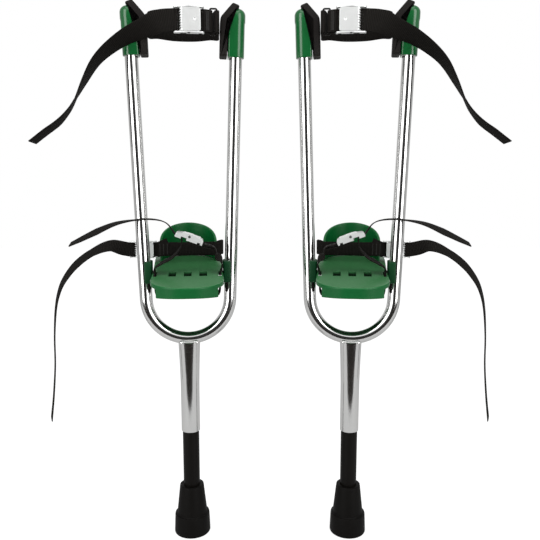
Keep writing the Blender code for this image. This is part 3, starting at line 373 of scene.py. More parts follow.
class Wire:
    """A shader socket that takes part in Python arithmetic."""

    def __init__(self, finish, socket):
        self.finish = finish
        self.socket = socket

    def sum(self, operation, first, second):
        return self.finish.node("Math", {"operation": operation}, Value=first, Value_001=second)

    def __add__(self, other):
        return self.sum("ADD", self, other)

    def __radd__(self, other):
        return self.sum("ADD", other, self)

    def __sub__(self, other):
        return self.sum("SUBTRACT", self, other)

    def __rsub__(self, other):
        return self.sum("SUBTRACT", other, self)

    def __mul__(self, other):
        return self.sum("MULTIPLY", self, other)

    def __rmul__(self, other):
        return self.sum("MULTIPLY", other, self)

    def wave(self, pitch):
        """A sine of this pitch, from 0 to 1."""
        return self.finish.node("Math", {"operation": "SINE"}, Value=self * (2 * pi / pitch)) * 0.5 + 0.5


class Finish:
    """One node tree, with one method that adds any node to it."""

    def __init__(self, name, owner=None):
        self.owner = owner or bpy.data.materials.new(name)
        self.owner.use_nodes = True
        self.tree = self.owner.node_tree

    def feed(self, socket, value):
        if isinstance(value, Wire):
            self.tree.links.new(value.socket, socket)
        else:
            socket.default_value = value

    def node(self, kind, settings=None, output=0, **sockets):
        made = self.tree.nodes.new("ShaderNode" + kind)
        for key, value in (settings or {}).items():
            if key == "stops":
                ramp = made.color_ramp.elements
                while len(ramp) < len(value):
                    ramp.new(1)
                for stop, (at, shade) in zip(ramp, value):
                    stop.position = at
                    stop.color = (shade, shade, shade, 1)
            else:
                setattr(made, key, value)
        for key, value in sockets.items():
            known = {socket.identifier: socket for socket in made.inputs}
            self.feed(known.get(key) or made.inputs[key], value)
        given = {socket.identifier: socket for socket in made.outputs}
        return Wire(self, given.get(output) or made.outputs[output])

    def at(self):
        return self.node("TexCoord", output="Object")

    def either(self, first, second):
        """1 where a ray is of one kind or the other."""
        rays = [self.node("LightPath", output=kind) for kind in (first, second)]
        return self.node("Math", {"operation": "MAXIMUM"}, Value=rays[0], Value_001=rays[1])

    def noise(self, scale, detail, vector=None):
        return self.node("TexNoise", Vector=vector or self.at(), Scale=scale, Detail=detail)

    def stretched(self, scale):
        """Object coordinates pulled out along each axis."""
        return self.node("Mapping", Vector=self.at(), Scale=scale)

    def shades(self, mask, low, high):
        low, high = (shade if isinstance(shade, Wire) else (*shade, 1) for shade in (low, high))
        return self.node(
            "Mix", {"data_type": "RGBA"}, output="Result_Color", Factor_Float=mask, A_Color=low, B_Color=high
        )

    def surface(self, **sockets):
        shader = self.tree.nodes["Principled BSDF"]
        for key, value in sockets.items():
            self.feed(shader.inputs[key.replace("_", " ")], value)
        return self.owner

    def bump(self, height, distance, strength):
        return self.node("Bump", Height=height, Distance=distance, Strength=strength)


def tinted(shade, factor):
    return tuple(min(channel * factor, 1.0) for channel in shade)


def mix_chrome(look):
    finish = Finish("chrome_plate")
    haze = finish.noise(34, 4)
    lines = finish.noise(1, 3, finish.stretched((900, 900, 60)))
    return finish.surface(
        Base_Color=finish.shades(haze, tinted(look.chrome, 0.95), look.chrome), Metallic=1.0,
        Roughness=0.085 + haze * 0.03 + lines * 0.02,
    )


def mix_moulded(name, shade, look, rough, shine, coat=0.0):
    """Injection-moulded plastic: grain and mottling, a paler painted sheen where the mesh is marked on the plate's
    top, and a near-black painted shade where it is marked down in the slots.
    """
    finish = Finish(name)
    sunk, trodden = (finish.node("Attribute", {"attribute_name": mark}, output="Fac") for mark in (PAINTED_SHADE, PAINTED_SHEEN))
    mottle = finish.noise(46, 3)
    grain = finish.noise(1500, 2)
    skin = finish.shades(mottle, tinted(shade, 0.88), tinted(shade, 1.12))
    # Painted light: the plate's top takes a paler painted sheen, and its slots' walls a near-black painted shade.
    return finish.surface(
        Base_Color=finish.shades(sunk, finish.shades(trodden, skin, look.trodden), tinted(shade, 0.03)),
        Roughness=rough + finish.noise(210, 3) * 0.08, Specular_IOR_Level=shine,
        Coat_Weight=coat, Coat_Roughness=0.12, Normal=finish.bump(grain, 0.00003, 0.3),
    )


def mix_foam(plan, look):
    """Closed-cell foam, paler along the cut edge at the bottom of each pad."""
    finish = Finish("pad_foam")
    cells = finish.node("TexVoronoi", {"feature": "SMOOTH_F1"}, Vector=finish.at(), Scale=1100)
    mottle = finish.noise(70, 4)
    height = finish.node("SeparateXYZ", Vector=finish.at(), output="Z")
    low = plan.tube_top - plan.ends.cap_grip
    edge = finish.node(
        "MapRange", {"interpolation_type": "SMOOTHSTEP"}, Value=height + mottle * 0.001,
        **{"From Min": low + plan.ends.pad_edge, "From Max": low},
    )
    skin = finish.shades(mottle, tinted(look.foam, 0.7), tinted(look.foam, 1.4))
    return finish.surface(
        Base_Color=finish.shades(edge, skin, look.foam_edge), Specular_IOR_Level=0.3,
        Roughness=0.72 + cells * 0.2, Normal=finish.bump(cells, 0.00025, 0.7),
    )


def mix_webbing(look):
    """Ribbed webbing on the strip's own map: u along it and v across it, in metres, its raised ribs paler as a
    painted highlight.
    """
    finish = Finish("woven_webbing")
    place = finish.node("TexCoord", output="UV")
    ribs = finish.node("SeparateXYZ", Vector=place, output="X").wave(0.0023)
    threads = finish.node("SeparateXYZ", Vector=place, output="Y").wave(0.0012)
    fuzz = finish.noise(2600, 2)
    # The ribs' paler colour is a painted highlight on the raised ribs, with the threads' weave and fuzz over it.
    return finish.surface(
        Base_Color=finish.shades(ribs * 0.5 + threads * 0.2 + fuzz * 0.3, look.webbing, look.thread),
        Roughness=0.62 + fuzz * 0.25, Specular_IOR_Level=0.06,
        Normal=finish.bump(ribs * 0.6 + threads * 0.2 + fuzz * 0.2, 0.0004, 0.8),
    )


def mix_thread(look):
    finish = Finish("sewing_thread")
    twist = finish.noise(1800, 2)
    return finish.surface(
        Base_Color=finish.shades(twist, look.webbing, tinted(look.thread, 1.6)),
        Roughness=0.45 + twist * 0.2, Normal=finish.bump(twist, 0.0001, 0.6),
    )


def mix_rubber(look):
    finish = Finish("moulded_rubber")
    bloom = finish.noise(55, 5)
    return finish.surface(
        Base_Color=finish.shades(bloom, tinted(look.rubber, 0.8), tinted(look.rubber, 1.6)),
        Roughness=0.42 + bloom * 0.20, Specular_IOR_Level=0.1,
        Normal=finish.bump(finish.noise(900, 3), 0.0001, 0.45),
    )


def mix_paint(name, shade, gloss):
    finish = Finish(name)
    peel = finish.noise(420, 2)
    wear = finish.noise(60, 4)
    return finish.surface(
        Base_Color=finish.shades(wear, tinted(shade, 0.8), tinted(shade, 1.5)),
        Roughness=gloss + wear * 0.14, Specular_IOR_Level=0.12, Normal=finish.bump(peel, 0.00006, 0.3),
    )


def mix_zinc(name, shade, rough):
    finish = Finish(name)
    spangle = finish.noise(160, 3)
    lines = finish.noise(1, 3, finish.stretched((150, 1400, 1400)))
    return finish.surface(
        Base_Color=finish.shades(spangle, tinted(shade, 0.94), shade), Metallic=0.55,
        Roughness=rough + spangle * 0.08, Normal=finish.bump(lines, 0.00002, 0.25),
    )


def mix_finishes(plan, look):
    return {
        "chrome": mix_chrome(look),
        "green_plastic": mix_moulded("green_plastic", look.green, look, 0.30, 0.2, 1.0),
        "plate_plastic": mix_moulded("plate_plastic", look.green, look, 0.34, 0.35),
        "bracket_plastic": mix_moulded("bracket_plastic", look.bracket, look, 0.40, 0.2),
        "foam": mix_foam(plan, look),
        "webbing": mix_webbing(look),
        "thread": mix_thread(look),
        "rubber": mix_rubber(look),
        "black_paint": mix_paint("black_paint", look.paint, 0.34),
        "ring": mix_paint("ring_enamel", look.paint, 0.16),
        "zinc": mix_zinc("zinc_plate", look.zinc, 0.34),
        "rivet_steel": mix_zinc("rivet_steel", tinted(look.zinc, 0.12), 0.34),
        "weld": mix_zinc("weld_metal", look.zinc, 0.14),
    }


# Finishes by name, mixed by the first step.
FINISH = {}


def layout(scene):
    """Heights and reaches that follow from the sizes, in one stilt's own frame."""
    tube, ends, plate, web = scene.stilt_frame, scene.stilt_ends, scene.stilt_plate, scene.stilt_web
    plan = SimpleNamespace(tube=tube, ends=ends, plate=plate, web=web, buckle=scene.stilt_buckle)
    plan.bend_centre = tube.bend_bottom + tube.bend_radius
    plan.arm_foot = Vector((
        tube.bend_radius * cos(tube.arm_lean), 0, plan.bend_centre - tube.bend_radius * sin(tube.arm_lean)
    ))
    plan.arm_x = lambda height: plan.arm_foot.x + (height - plan.arm_foot.z) * tan(tube.arm_lean)
    plan.along_arm = lambda height: (height - plan.arm_foot.z) / cos(tube.arm_lean)
    plan.tube_top = tube.bend_bottom + tube.arm_height
    plan.arm_top = Vector((plan.arm_x(plan.tube_top), 0, plan.tube_top))
    plan.plate_height = tube.bend_bottom + plate.rise
    plan.arm_at_plate = plan.arm_x(plan.plate_height)
    plan.plate_half = plan.arm_at_plate - tube.tube_od / 2 - plate.bracket_web
    plan.toe_half = plan.plate_half - plate.wing
    plan.heel_half = plan.plate_half + plate.heel_flare
    plan.side_slot_x = plan.plate_half - plate.side_slot_inset
    plan.cup_radius = plan.heel_half - plate.cup_inset
    plan.plate_frame = Matrix.Translation((0, 0, plan.plate_height)) @ Matrix.Rotation(plate.tilt, 4, "X")
    plan.sleeve_top = tube.bend_bottom - tube.tube_od / 2 + tube.sleeve_saddle
    plan.sleeve_bottom = plan.sleeve_top - tube.sleeve_length
    plan.cap_radius = tube.tube_od / 2 + ends.cap_wall
    plan.cap_flat = tube.tube_od / 2 + ends.cap_face
    plan.calf_height = plan.tube_top - web.calf_drop
    plan.layer = web.thickness + GAP
    plan.widths = {"calf_": web.calf, "toe_": web.toe, "ankle_": web.ankle}
    plan.over = plan.buckle.base / 2 + plan.buckle.wrap
    plan.under = plan.buckle.base / 2 - plan.buckle.wrap
    plan.past_bar = -plan.buckle.tail - plan.buckle.wrap
    return plan


def stilt_matrix(scene, sign):
    tube = scene.stilt_frame
    place = Matrix.Translation((sign * tube.stance / 2, tube.setback, 0))
    return place @ Matrix.Rotation(-sign * tube.toe_in, 4, "Z") @ Matrix.Diagonal((sign, 1, 1, 1))


def start(kind, name, **settings):
    """A primitive as the start of a piece, alone in the selection and with its place in its mesh."""
    bpy.ops.object.select_all(action="DESELECT")
    getattr(bpy.ops.mesh, f"primitive_{kind}_add")(**settings)
    piece = bpy.context.object
    piece.name = name
    bpy.ops.object.transform_apply(location=True, rotation=True, scale=True)
    return piece


def only(piece):
    bpy.ops.object.select_all(action="DESELECT")
    piece.select_set(True)
    bpy.context.view_layer.objects.active = piece


def pick(piece, kind, test):
    """In edit mode, selects the verts, edges or faces that pass the test, and nothing else."""
    bpy.context.tool_settings.mesh_select_mode = (kind == "verts", kind == "edges", kind == "faces")
    bpy.ops.mesh.select_all(action="DESELECT")
    bm = bmesh.from_edit_mesh(piece.data)
    for item in getattr(bm, kind):
        if test(item):
            item.select_set(True)
    bmesh.update_edit_mesh(piece.data)


def editing(piece):
    """Opens a piece in edit mode with all of it selected."""
    only(piece)
    bpy.ops.object.mode_set(mode="EDIT")
    bpy.ops.mesh.select_all(action="SELECT")


def closed_up(piece, sharp=35):
    """Leaves edit mode with faces outward, and shades smooth but for sharp edges."""
    if bpy.context.mode != "EDIT_MESH":
        editing(piece)
    bpy.ops.mesh.select_all(action="SELECT")
    bpy.ops.mesh.remove_doubles(threshold=MERGE)
    bpy.ops.mesh.normals_make_consistent(inside=False)
    bpy.ops.object.mode_set(mode="OBJECT")
    only(piece)
    bpy.ops.object.shade_smooth_by_angle(angle=radians(sharp))
    return piece


def draw(move):
    """Extrudes what is selected by this move."""
    bpy.ops.mesh.extrude_region_move(TRANSFORM_OT_translate={"value": move})


def bevel(width, segments):
    """Rounds the edges that are selected."""
    bpy.ops.mesh.bevel(offset=width, segments=segments, profile=0.5, affect="EDGES")


def slice_off(place, normal):
    """Takes off what is selected beyond a plane, and fills the cut."""
    bpy.ops.mesh.bisect(plane_co=place, plane_no=normal, use_fill=True, clear_outer=True)


def finished(piece, kind, name, **settings):
    """Adds a modifier and applies it."""
    only(piece)
    modifier = piece.modifiers.new(name, kind)
    for key, value in settings.items():
        setattr(modifier, key, value)
    bpy.ops.object.modifier_apply(modifier=name)
    return piece


def eased(piece, width, segments, sharp):
    """Rounds every edge that turns more sharply than this."""
    return finished(
        piece, "BEVEL", "edges", width=width, segments=segments, limit_method="ANGLE", angle_limit=radians(sharp)
    )


def cut(piece, cutter, operation="DIFFERENCE"):
    finished(piece, "BOOLEAN", "cut", operation=operation, object=cutter, solver="EXACT")
    bpy.data.objects.remove(cutter)
    return piece


def outline(name, points):
    """A flat face with these corners: a filled circle, its rim moved to the outline."""
    piece = start("circle", name, vertices=len(points), radius=1, fill_type="NGON")
    for vert, point in zip(piece.data.vertices, points):
        vert.co = point
    return piece


def block(name, low, high, edge=0.0):
    """A cube primitive drawn out to two corners, with its edges rounded."""
    low, high = Vector(low), Vector(high)
    piece = start("cube", name, size=1, location=(low + high) / 2, scale=high - low)
    if edge:
        editing(piece)
        bevel(edge, 4)
        closed_up(piece)
    return piece


def drawn_across(name, side_view, half):
    """A side view of (x, z) points, drawn across from one side to the other."""
    piece = outline(name, [(x, -half, z) for x, z in side_view])
    editing(piece)
    draw((0, 2 * half, 0))
    return closed_up(piece)


def bore(piece, radius, reach, height=0.0):
    """Cuts a round hole across a piece, this far to each side."""
    drill = start(
        "cylinder", "drill", vertices=PIN_STEPS, radius=radius, depth=2 * reach,
        location=(0, 0, height), rotation=(pi / 2, 0, 0),
    )
    return cut(piece, drill)


def lathe(name, profile, steps=TURNED_STEPS):
    """A piece turned about Z: a ring drawn through (radius, height) steps, and its ends filled."""
    radius, height = profile[0]
    piece = start("circle", name, vertices=steps, radius=radius, location=(0, 0, height), fill_type="NGON")
    editing(piece)
    for wide, tall in profile[1:]:
        draw((0, 0, tall - height))
        bpy.ops.transform.resize(value=(wide / radius, wide / radius, 1), center_override=(0, 0, tall))
        radius, height = wide, tall
    return closed_up(piece, 28)


def rounded(corners, steps=6):
    """The outline through (x, y, radius) corners, with an arc of that radius at each."""
    points = []
    for index, (x, y, radius) in enumerate(corners):
        here = Vector((x, y))
        before = (Vector(corners[index - 1][:2]) - here).normalized()
        after = (Vector(corners[(index + 1) % len(corners)][:2]) - here).normalized()
        if radius == 0:
            points.append(here)
            continue
        half = before.angle(after) / 2
        centre = here + (before + after).normalized() * (radius / sin(half))
        first = here + before * (radius / tan(half)) - centre
        sweep = first.angle_signed(here + after * (radius / tan(half)) - centre)
        points += [centre + Matrix.Rotation(-sweep * k / steps, 2) @ first for k in range(steps + 1)]
    return points


def both_sides(half):
    """A whole outline from corners down one side, with the same mirrored up the other."""
    return list(half) + [(-x, y, radius) for x, y, radius in reversed(half)]


def settle(piece, matrix):
    """Moves a piece's mesh, and keeps its faces outward where the move mirrors it."""
    piece.data.transform(matrix)
    if matrix.determinant() < 0:
        piece.data.flip_normals()
    piece.data.update()
    return piece


def set_down(scene, piece, name, node, slot, finish=None, body="stilt"):
    """Puts a piece on both stilts, each with its own mesh, hangs it on the body that carries it and hides the part
    that it stands for.
    """
    made = {}
    piece.data.materials.clear()
    piece.data.materials.append(FINISH[finish or slot])
    for side, sign in SIDES:
        copy = piece.copy()
        copy.data = piece.data.copy()
        scene.collection.objects.link(copy)
        copy.name = side + name
        copy.data.name = side + name
        settle(copy, stilt_matrix(scene, sign))
        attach(copy, side + body)
        if node:
            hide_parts(side + node)
        made[side] = copy
    bpy.data.objects.remove(piece)
    return made


def model_tube(plan):
    """The U tube: a ring drawn down one arm, spun round the bend and drawn up the other."""
    tube = plan.tube
    piece = start(
        "circle", "tube", vertices=TURNED_STEPS, radius=tube.tube_od / 2,
        location=plan.arm_top, rotation=(0, tube.arm_lean, 0),
    )
    editing(piece)
    down = plan.arm_foot - plan.arm_top
    up = Vector((down.x, 0, -down.z))
    for _ in range(ARM_SPANS):
        bpy.ops.mesh.extrude_edges_move(TRANSFORM_OT_translate={"value": down / ARM_SPANS})
    bpy.ops.mesh.spin(
        steps=BEND_STEPS, angle=pi - 2 * tube.arm_lean, center=(0, 0, plan.bend_centre), axis=(0, -1, 0),
        dupli=False,
    )
    for _ in range(ARM_SPANS):
        bpy.ops.mesh.extrude_edges_move(TRANSFORM_OT_translate={"value": up / ARM_SPANS})
    closed_up(piece)
    finished(piece, "SOLIDIFY", "wall", thickness=tube.tube_wall, offset=-1)
    only(piece)
    bpy.ops.object.shade_smooth_by_angle(angle=radians(40))
    return piece


def model_sleeve(plan):
    tube = plan.tube
    straight = plan.sleeve_top - tube.sleeve_flare_length
    flare, radius = tube.sleeve_flare / 2, tube.sleeve_od / 2
    lip, curve, steps = 0.0008, 1.5, 6
    rings = [(tube.peg_od / 2, plan.sleeve_bottom + lip), (tube.peg_od / 2 + GAP, plan.sleeve_bottom)]
    rings += [(radius - lip, plan.sleeve_bottom), (radius, plan.sleeve_bottom + lip), (radius, straight)]
    for k in range(1, steps + 1):
        share = k / steps
        rings.append((radius + (flare - radius) * share**curve, straight + tube.sleeve_flare_length * share))
    rings.append((flare - lip, plan.sleeve_top + lip))
    return lathe("sleeve", rings)


def model_welds(plan):
    """Two rippled beads along the bend, in front of it and behind it."""
    tube = plan.tube
    reach = tube.sleeve_flare / 2 - tube.weld_bead
    ripple_pitch, ripple_swell = 0.0028, 0.12
    beads = []
    for side in (-1, 1):
        piece = start("uv_sphere", "bead", segments=16, ring_count=48, radius=1)
        for vert in piece.data.vertices:
            x, y, z = vert.co
            along = z * reach
            rise = plan.bend_centre - sqrt(tube.bend_radius**2 - along**2) - plan.sleeve_top
            half = sqrt(max((tube.tube_od / 2) ** 2 - rise**2, 0))
            ripple = 1 + ripple_swell * sin(along * 2 * pi / ripple_pitch)
            wide = tube.weld_bead * ripple * (1 - abs(z) ** 6) / max(sqrt(1 - z * z), 0.2)
            vert.co = (along, side * (half + GAP) + y * wide, plan.sleeve_top + x * wide + GAP)
        beads.append(closed_up(piece, 60))
    only(beads[0])
    beads[1].select_set(True)
    bpy.ops.object.join()
    return beads[0]


class STILTS_OT_frames(bpy.types.Operator):
    """Models the chromed tubes, their sleeves and the welds between them"""

    bl_idname = "stilts.frames"
    bl_label = "Chromed frames"

    def execute(self, context):
        plan = layout(context.scene)
        set_down(context.scene, model_tube(plan), "frame_tube", "u_frame", "chrome")
        set_down(context.scene, model_sleeve(plan), "sleeve", "peg_sleeve", "chrome")
        set_down(context.scene, model_welds(plan), "weld_beads", None, "chrome", finish="weld")
        return {"FINISHED"}


def model_peg(plan):
    tube = plan.tube
    radius, edge, lap = tube.peg_od / 2, 0.0006, 0.03
    low, top = tube.foot_height - lap, plan.sleeve_bottom + lap
    return lathe("peg", [(radius - edge, low), (radius, low + edge), (radius, top - edge), (radius - edge, top)])


def model_foot(plan):
    """The rubber foot: ringed sole, straight collar and a cone up to its mouth."""
    tube = plan.tube
    base, collar = tube.foot_base / 2, tube.foot_collar / 2
    cone, mouth, peg = tube.foot_cone_base / 2, tube.foot_cone_top / 2, tube.peg_od / 2
    step, top = tube.foot_collar_height, tube.foot_height
    ring, edge = 0.0022, 0.0012
    profile = []
    for share in (0.28, 0.5, 0.72):
        inner = base * share
        outer = inner + edge + ring / 2
        profile += [(inner, 0), (inner + edge / 2, edge), (outer, edge), (outer + edge / 2, 0)]
    profile += [(base - edge, 0), (base - edge / 3, edge / 3), (base, edge), (base, edge + ring)]
    for radius, height, after in (
        (collar, step, [(cone + edge, step), (cone, step + edge)]),
        (mouth, top, [(peg + GAP, top), (peg, top - edge)]),
    ):
        profile += [(radius, height - 2 * edge), (radius - edge / 3, height - edge / 2), (radius - edge, height)]
        profile += after
    return lathe("foot", profile, FOOT_STEPS)


def model_screw(plan):
    """The screw at the back of the sleeve: a turned shank and domed head with a cross recess."""
    tube, buckle = plan.tube, plan.buckle
    seat, tall, shoulder = tube.sleeve_od / 2 + GAP, tube.screw_head_height, 0.35
    profile = [(tube.screw_radius, tube.peg_od / 2 - tube.screw_radius), (tube.screw_radius, seat)]
    profile += [(tube.screw_head, seat), (tube.screw_head, seat + tall * shoulder)]
    for turn in (radians(25), radians(50), radians(75)):
        profile.append((tube.screw_head * cos(turn), seat + tall * (shoulder + (1 - shoulder) * sin(turn))))
    piece = lathe("screw", profile, SCREW_STEPS)
    arm, slit, bottom = tube.screw_head * 0.6, buckle.wall / 2, seat + tall * 0.4
    for x, y in ((arm, slit), (slit, arm)):
        cut(piece, block("recess", (-x, -y, bottom), (x, y, seat + 2 * tall)))
    closed_up(piece, 30)
    return settle(
        piece, Matrix.Translation((0, 0, plan.sleeve_bottom + tube.screw_rise)) @ Matrix.Rotation(-pi / 2, 4, "X")
    )


class STILTS_OT_pegs(bpy.types.Operator):
    """Models the pegs, their rubber feet and the screws that hold the pegs"""

    bl_idname = "stilts.pegs"
    bl_label = "Pegs and feet"

    def execute(self, context):
        plan = layout(context.scene)
        set_down(context.scene, model_peg(plan), "peg", "peg_tube", "black_paint")
        set_down(context.scene, model_foot(plan), "foot", "rubber_foot", "rubber")
        set_down(context.scene, model_screw(plan), "set_screw", "peg_screw", "zinc")
        return {"FINISHED"}


def model_cap(plan):
    """A cap in its arm's frame: a D-shaped outline drawn up, rounded over and cut back for the pad's fold."""
    ends = plan.ends
    low, turn, high = (
        plan.along_arm(z) for z in (plan.tube_top - ends.cap_grip, plan.tube_top, plan.tube_top + ends.cap_over)
    )
    lip, mouth = high - ends.cap_lip_drop, 0.0008
    radius, flat = plan.cap_radius, plan.cap_flat
    section = rounded([
        (-flat, -radius, ends.cap_corner), (radius, -radius, radius - GAP),
        (radius, radius, radius - GAP), (-flat, radius, ends.cap_corner),
    ], 10)
    piece = outline("cap", [(*point, low) for point in section])
    editing(piece)
    slim = 1 - ends.cap_lip / radius
    bpy.ops.transform.resize(value=(slim, slim, 1), center_override=(0, 0, low))
    draw((0, 0, lip - low))
    ramp = 5 * ends.cap_lip
    draw((0, 0, ramp))
    bpy.ops.transform.resize(value=(1 / slim, 1 / slim, 1), center_override=(0, 0, lip))
    draw((0, 0, high - lip - ramp))
    pick(piece, "edges", lambda edge: all(vert.co.z > high - GAP for vert in edge.verts))
    bevel(ends.cap_dome, 8)
    pick(piece, "edges", lambda edge: all(vert.co.z < low + GAP for vert in edge.verts))
    bevel(mouth, 2)
    bpy.ops.mesh.select_all(action="SELECT")
    slice_off((-flat, 0, turn), (-cos(ends.chamfer), 0, sin(ends.chamfer)))
    return closed_up(piece, 40)


def model_pad(plan):
    """A foam pad in its arm's frame: its folded side view drawn across, rounded and filled out."""
    ends = plan.ends
    low, turn = plan.along_arm(plan.tube_top - ends.cap_grip), plan.along_arm(plan.tube_top)
    back = -plan.cap_flat - GAP
    front = back - ends.pad_thickness
    fold, soft = tan(ends.chamfer / 2), 0.0022
    flap = Vector((sin(ends.chamfer), cos(ends.chamfer))) * ends.pad_flap
    side_view = rounded([
        (front, low, soft),
        (front, turn + ends.pad_thickness * fold, ends.pad_thickness),
        (front + flap.x, turn + ends.pad_thickness * fold + flap.y, 0.0030),
        (back + flap.x, turn + GAP * fold + flap.y, soft),
        (back, turn + GAP * fold, 0.0008),
        (back, low, 0.0010),
    ], 5)
    piece = drawn_across("pad", side_view, ends.pad_width / 2)
    editing(piece)
    pick(piece, "edges", lambda edge: abs(edge.verts[0].co.y - edge.verts[1].co.y) < GAP)
    bevel(soft, 4)
    return closed_up(piece, 50)


class STILTS_OT_arm_ends(bpy.types.Operator):
    """Models the caps on the tubes' ends and the foam pads on them"""

    bl_idname = "stilts.arm_ends"
    bl_label = "Caps and pads"

    def execute(self, context):
        plan = layout(context.scene)
        for end, sign in (("outer_", 1), ("inner_", -1)):
            arm = Matrix.Translation((sign * plan.arm_foot.x, 0, plan.arm_foot.z))
            arm = arm @ Matrix.Rotation(sign * plan.tube.arm_lean, 4, "Y") @ Matrix.Diagonal((sign, 1, 1, 1))
            set_down(context.scene, settle(model_cap(plan), arm), end + "top_cap", end + "cap", "green_plastic")
            pads = set_down(context.scene, settle(model_pad(plan), arm), end + "leg_pad", end + "pad", "foam")
        return {"FINISHED"}


def drawn_up(name, points, low, high):
    """An outline of (x, y) points, drawn up from one height to another."""
    piece = outline(name, [(x, y, low) for x, y in points])
    editing(piece)
    draw((0, 0, high - low))
    return closed_up(piece)


def model_skirt(plan, inset, top, extra=0.0):
    """A block upright under the sheet's tongue, no wider than the arms leave it, and deeper behind the toe."""
    plate = plan.plate
    half = plan.toe_half - inset
    radius, centre = plate.toe_radius - inset, plan.plate_half - plate.toe_radius
    sweep = asin((half - centre) / radius)
    turns = [sweep * k / NOSE_STEPS for k in range(NOSE_STEPS + 1)]
    nose = [(centre + radius * sin(turn), plate.toe_radius - plate.front - radius * cos(turn)) for turn in turns]
    around = rounded(both_sides([
        (half, nose[-1][1], 0), (half, 0, 0), (half, plate.back - inset, plate.skirt_back_radius - inset),
    ]), CORNER_STEPS)
    around += [Vector((-x, y)) for x, y in nose[-2::-1]] + [Vector(point) for point in nose[:-1]]
    piece = drawn_up("skirt", around, -plate.skirt_heel - extra, top)
    editing(piece)
    slice_off((0, -plate.front, -plate.skirt_toe - extra), (0, -plate.skirt_slope, -1))
    return closed_up(piece)


def model_plate(plan):
    """The foot plate in its tipped frame: crowned sheet, hollow skirt, ribs and slots."""
    plate = plan.plate
    sheet = rounded(both_sides([
        (plan.plate_half, -plate.front, plate.toe_radius), (plan.plate_half, plate.bracket_depth / 2, plate.wing),
        (plan.heel_half, plate.back - plate.heel_radius - plate.wing, 0),
        (plan.heel_half, plate.back, plate.heel_radius),
    ]), CORNER_STEPS)
    piece = drawn_up("plate", sheet, -plate.thickness, 0)
    editing(piece)
    pick(piece, "edges", lambda edge: all(vert.co.z > -GAP for vert in edge.verts))
    bevel(plate.crown, 4)
    closed_up(piece)
    cut(piece, model_skirt(plan, plate.skirt_inset, -plate.crown), "UNION")
    hollow = model_skirt(plan, plate.skirt_inset + plate.skirt_wall, -plate.thickness, plate.skirt_wall)
    reach = plate.slot_length / 2 + plate.rib_setback
    for y in (plate.slot_row - reach, plate.slot_row + reach, plate.cup_centre):
        low = (-plan.plate_half, y - plate.rib_wall / 2, plate.rib_short - plate.skirt_toe)
        cut(hollow, block("rib", low, (plan.plate_half, y + plate.rib_wall / 2, 0)))
    cut(piece, hollow)
    places = [(k * plate.slot_pitch, plate.slot_width) for k in (-1, 0, 1)]
    places += [(k * plan.side_slot_x, plate.side_slot_width) for k in (-1, 1)]
    for x, width in places:
        low = (x - width / 2, plate.slot_row - plate.slot_length / 2, -plate.thickness - plate.crown)
        high = (x + width / 2, plate.slot_row + plate.slot_length / 2, plate.crown)
        cut(piece, block("slot", low, high))
    closed_up(piece, 30)
    for mark in (PAINTED_SHADE, PAINTED_SHEEN):
        piece.data.attributes.new(mark, "FLOAT", "POINT")
    sunk, trodden = (piece.data.attributes[mark].data for mark in (PAINTED_SHADE, PAINTED_SHEEN))
    for vert, in_shade, top in zip(piece.data.vertices, sunk, trodden):
        beside = min(abs(abs(vert.co.x - x) - width / 2) for x, width in places)
        along = abs(vert.co.y - plate.slot_row) - plate.slot_length / 2
        # Verts on the slots' walls below the crown take the near-black painted shade.
        in_shade.value = float(beside < GAP and abs(along) < GAP and vert.co.z < -plate.crown)
        # Every vert of the plate's top takes the paler painted sheen.
        top.value = float(vert.co.z > -GAP)
    return piece


def model_cup(plan):
    """The heel cup: a grid bent round the heel, higher at the back, with a wall and a rolled rim."""
    plate = plan.plate
    piece = start("grid", "cup", x_subdivisions=48, y_subdivisions=10, size=1)
    for vert in piece.data.vertices:
        turn = vert.co.x * pi
        tall = plate.cup_side + (plate.cup_back - plate.cup_side) * max(cos(turn), 0) ** plate.cup_flat
        across, along = plan.cup_radius * sin(turn), plate.cup_centre + plan.cup_radius * cos(turn)
        vert.co = (across, along, GAP + (vert.co.y + 0.5) * tall)
    closed_up(piece)
    finished(piece, "SOLIDIFY", "wall", thickness=plate.cup_wall, offset=0)
    eased(piece, plate.cup_wall * 0.4, 4, 60)
    return closed_up(piece, 50)


def model_bracket(plan, sign):
    """A bracket between the plate's edge and the middle of an arm."""
    plate, edge = plan.plate, 0.002
    low, high = plan.plate_height - plate.bracket_drop, plan.plate_height + plate.bracket_rise
    ends = sorted((sign * (plan.plate_half + GAP), sign * plan.arm_x(low)))
    half = plate.bracket_depth / 2
    return block("bracket", (ends[0], -half, low), (ends[1], half, high), edge)


class STILTS_OT_plates(bpy.types.Operator):
    """Models the foot plates, heel cups and brackets"""

    bl_idname = "stilts.plates"
    bl_label = "Foot plates"

    def execute(self, context):
        plan = layout(context.scene)
        for model, name, node, finish in (
            (model_plate, "plate", "foot_plate", "plate_plastic"), (model_cup, "cup", "heel_cup", "plate_plastic")
        ):
            set_down(context.scene, settle(model(plan), plan.plate_frame), name, node, "green_plastic", finish)
        for end, sign in (("outer_", 1), ("inner_", -1)):
            set_down(context.scene, model_bracket(plan, sign), end + "saddle", end + "bracket", "bracket_plastic")
        return {"FINISHED"}


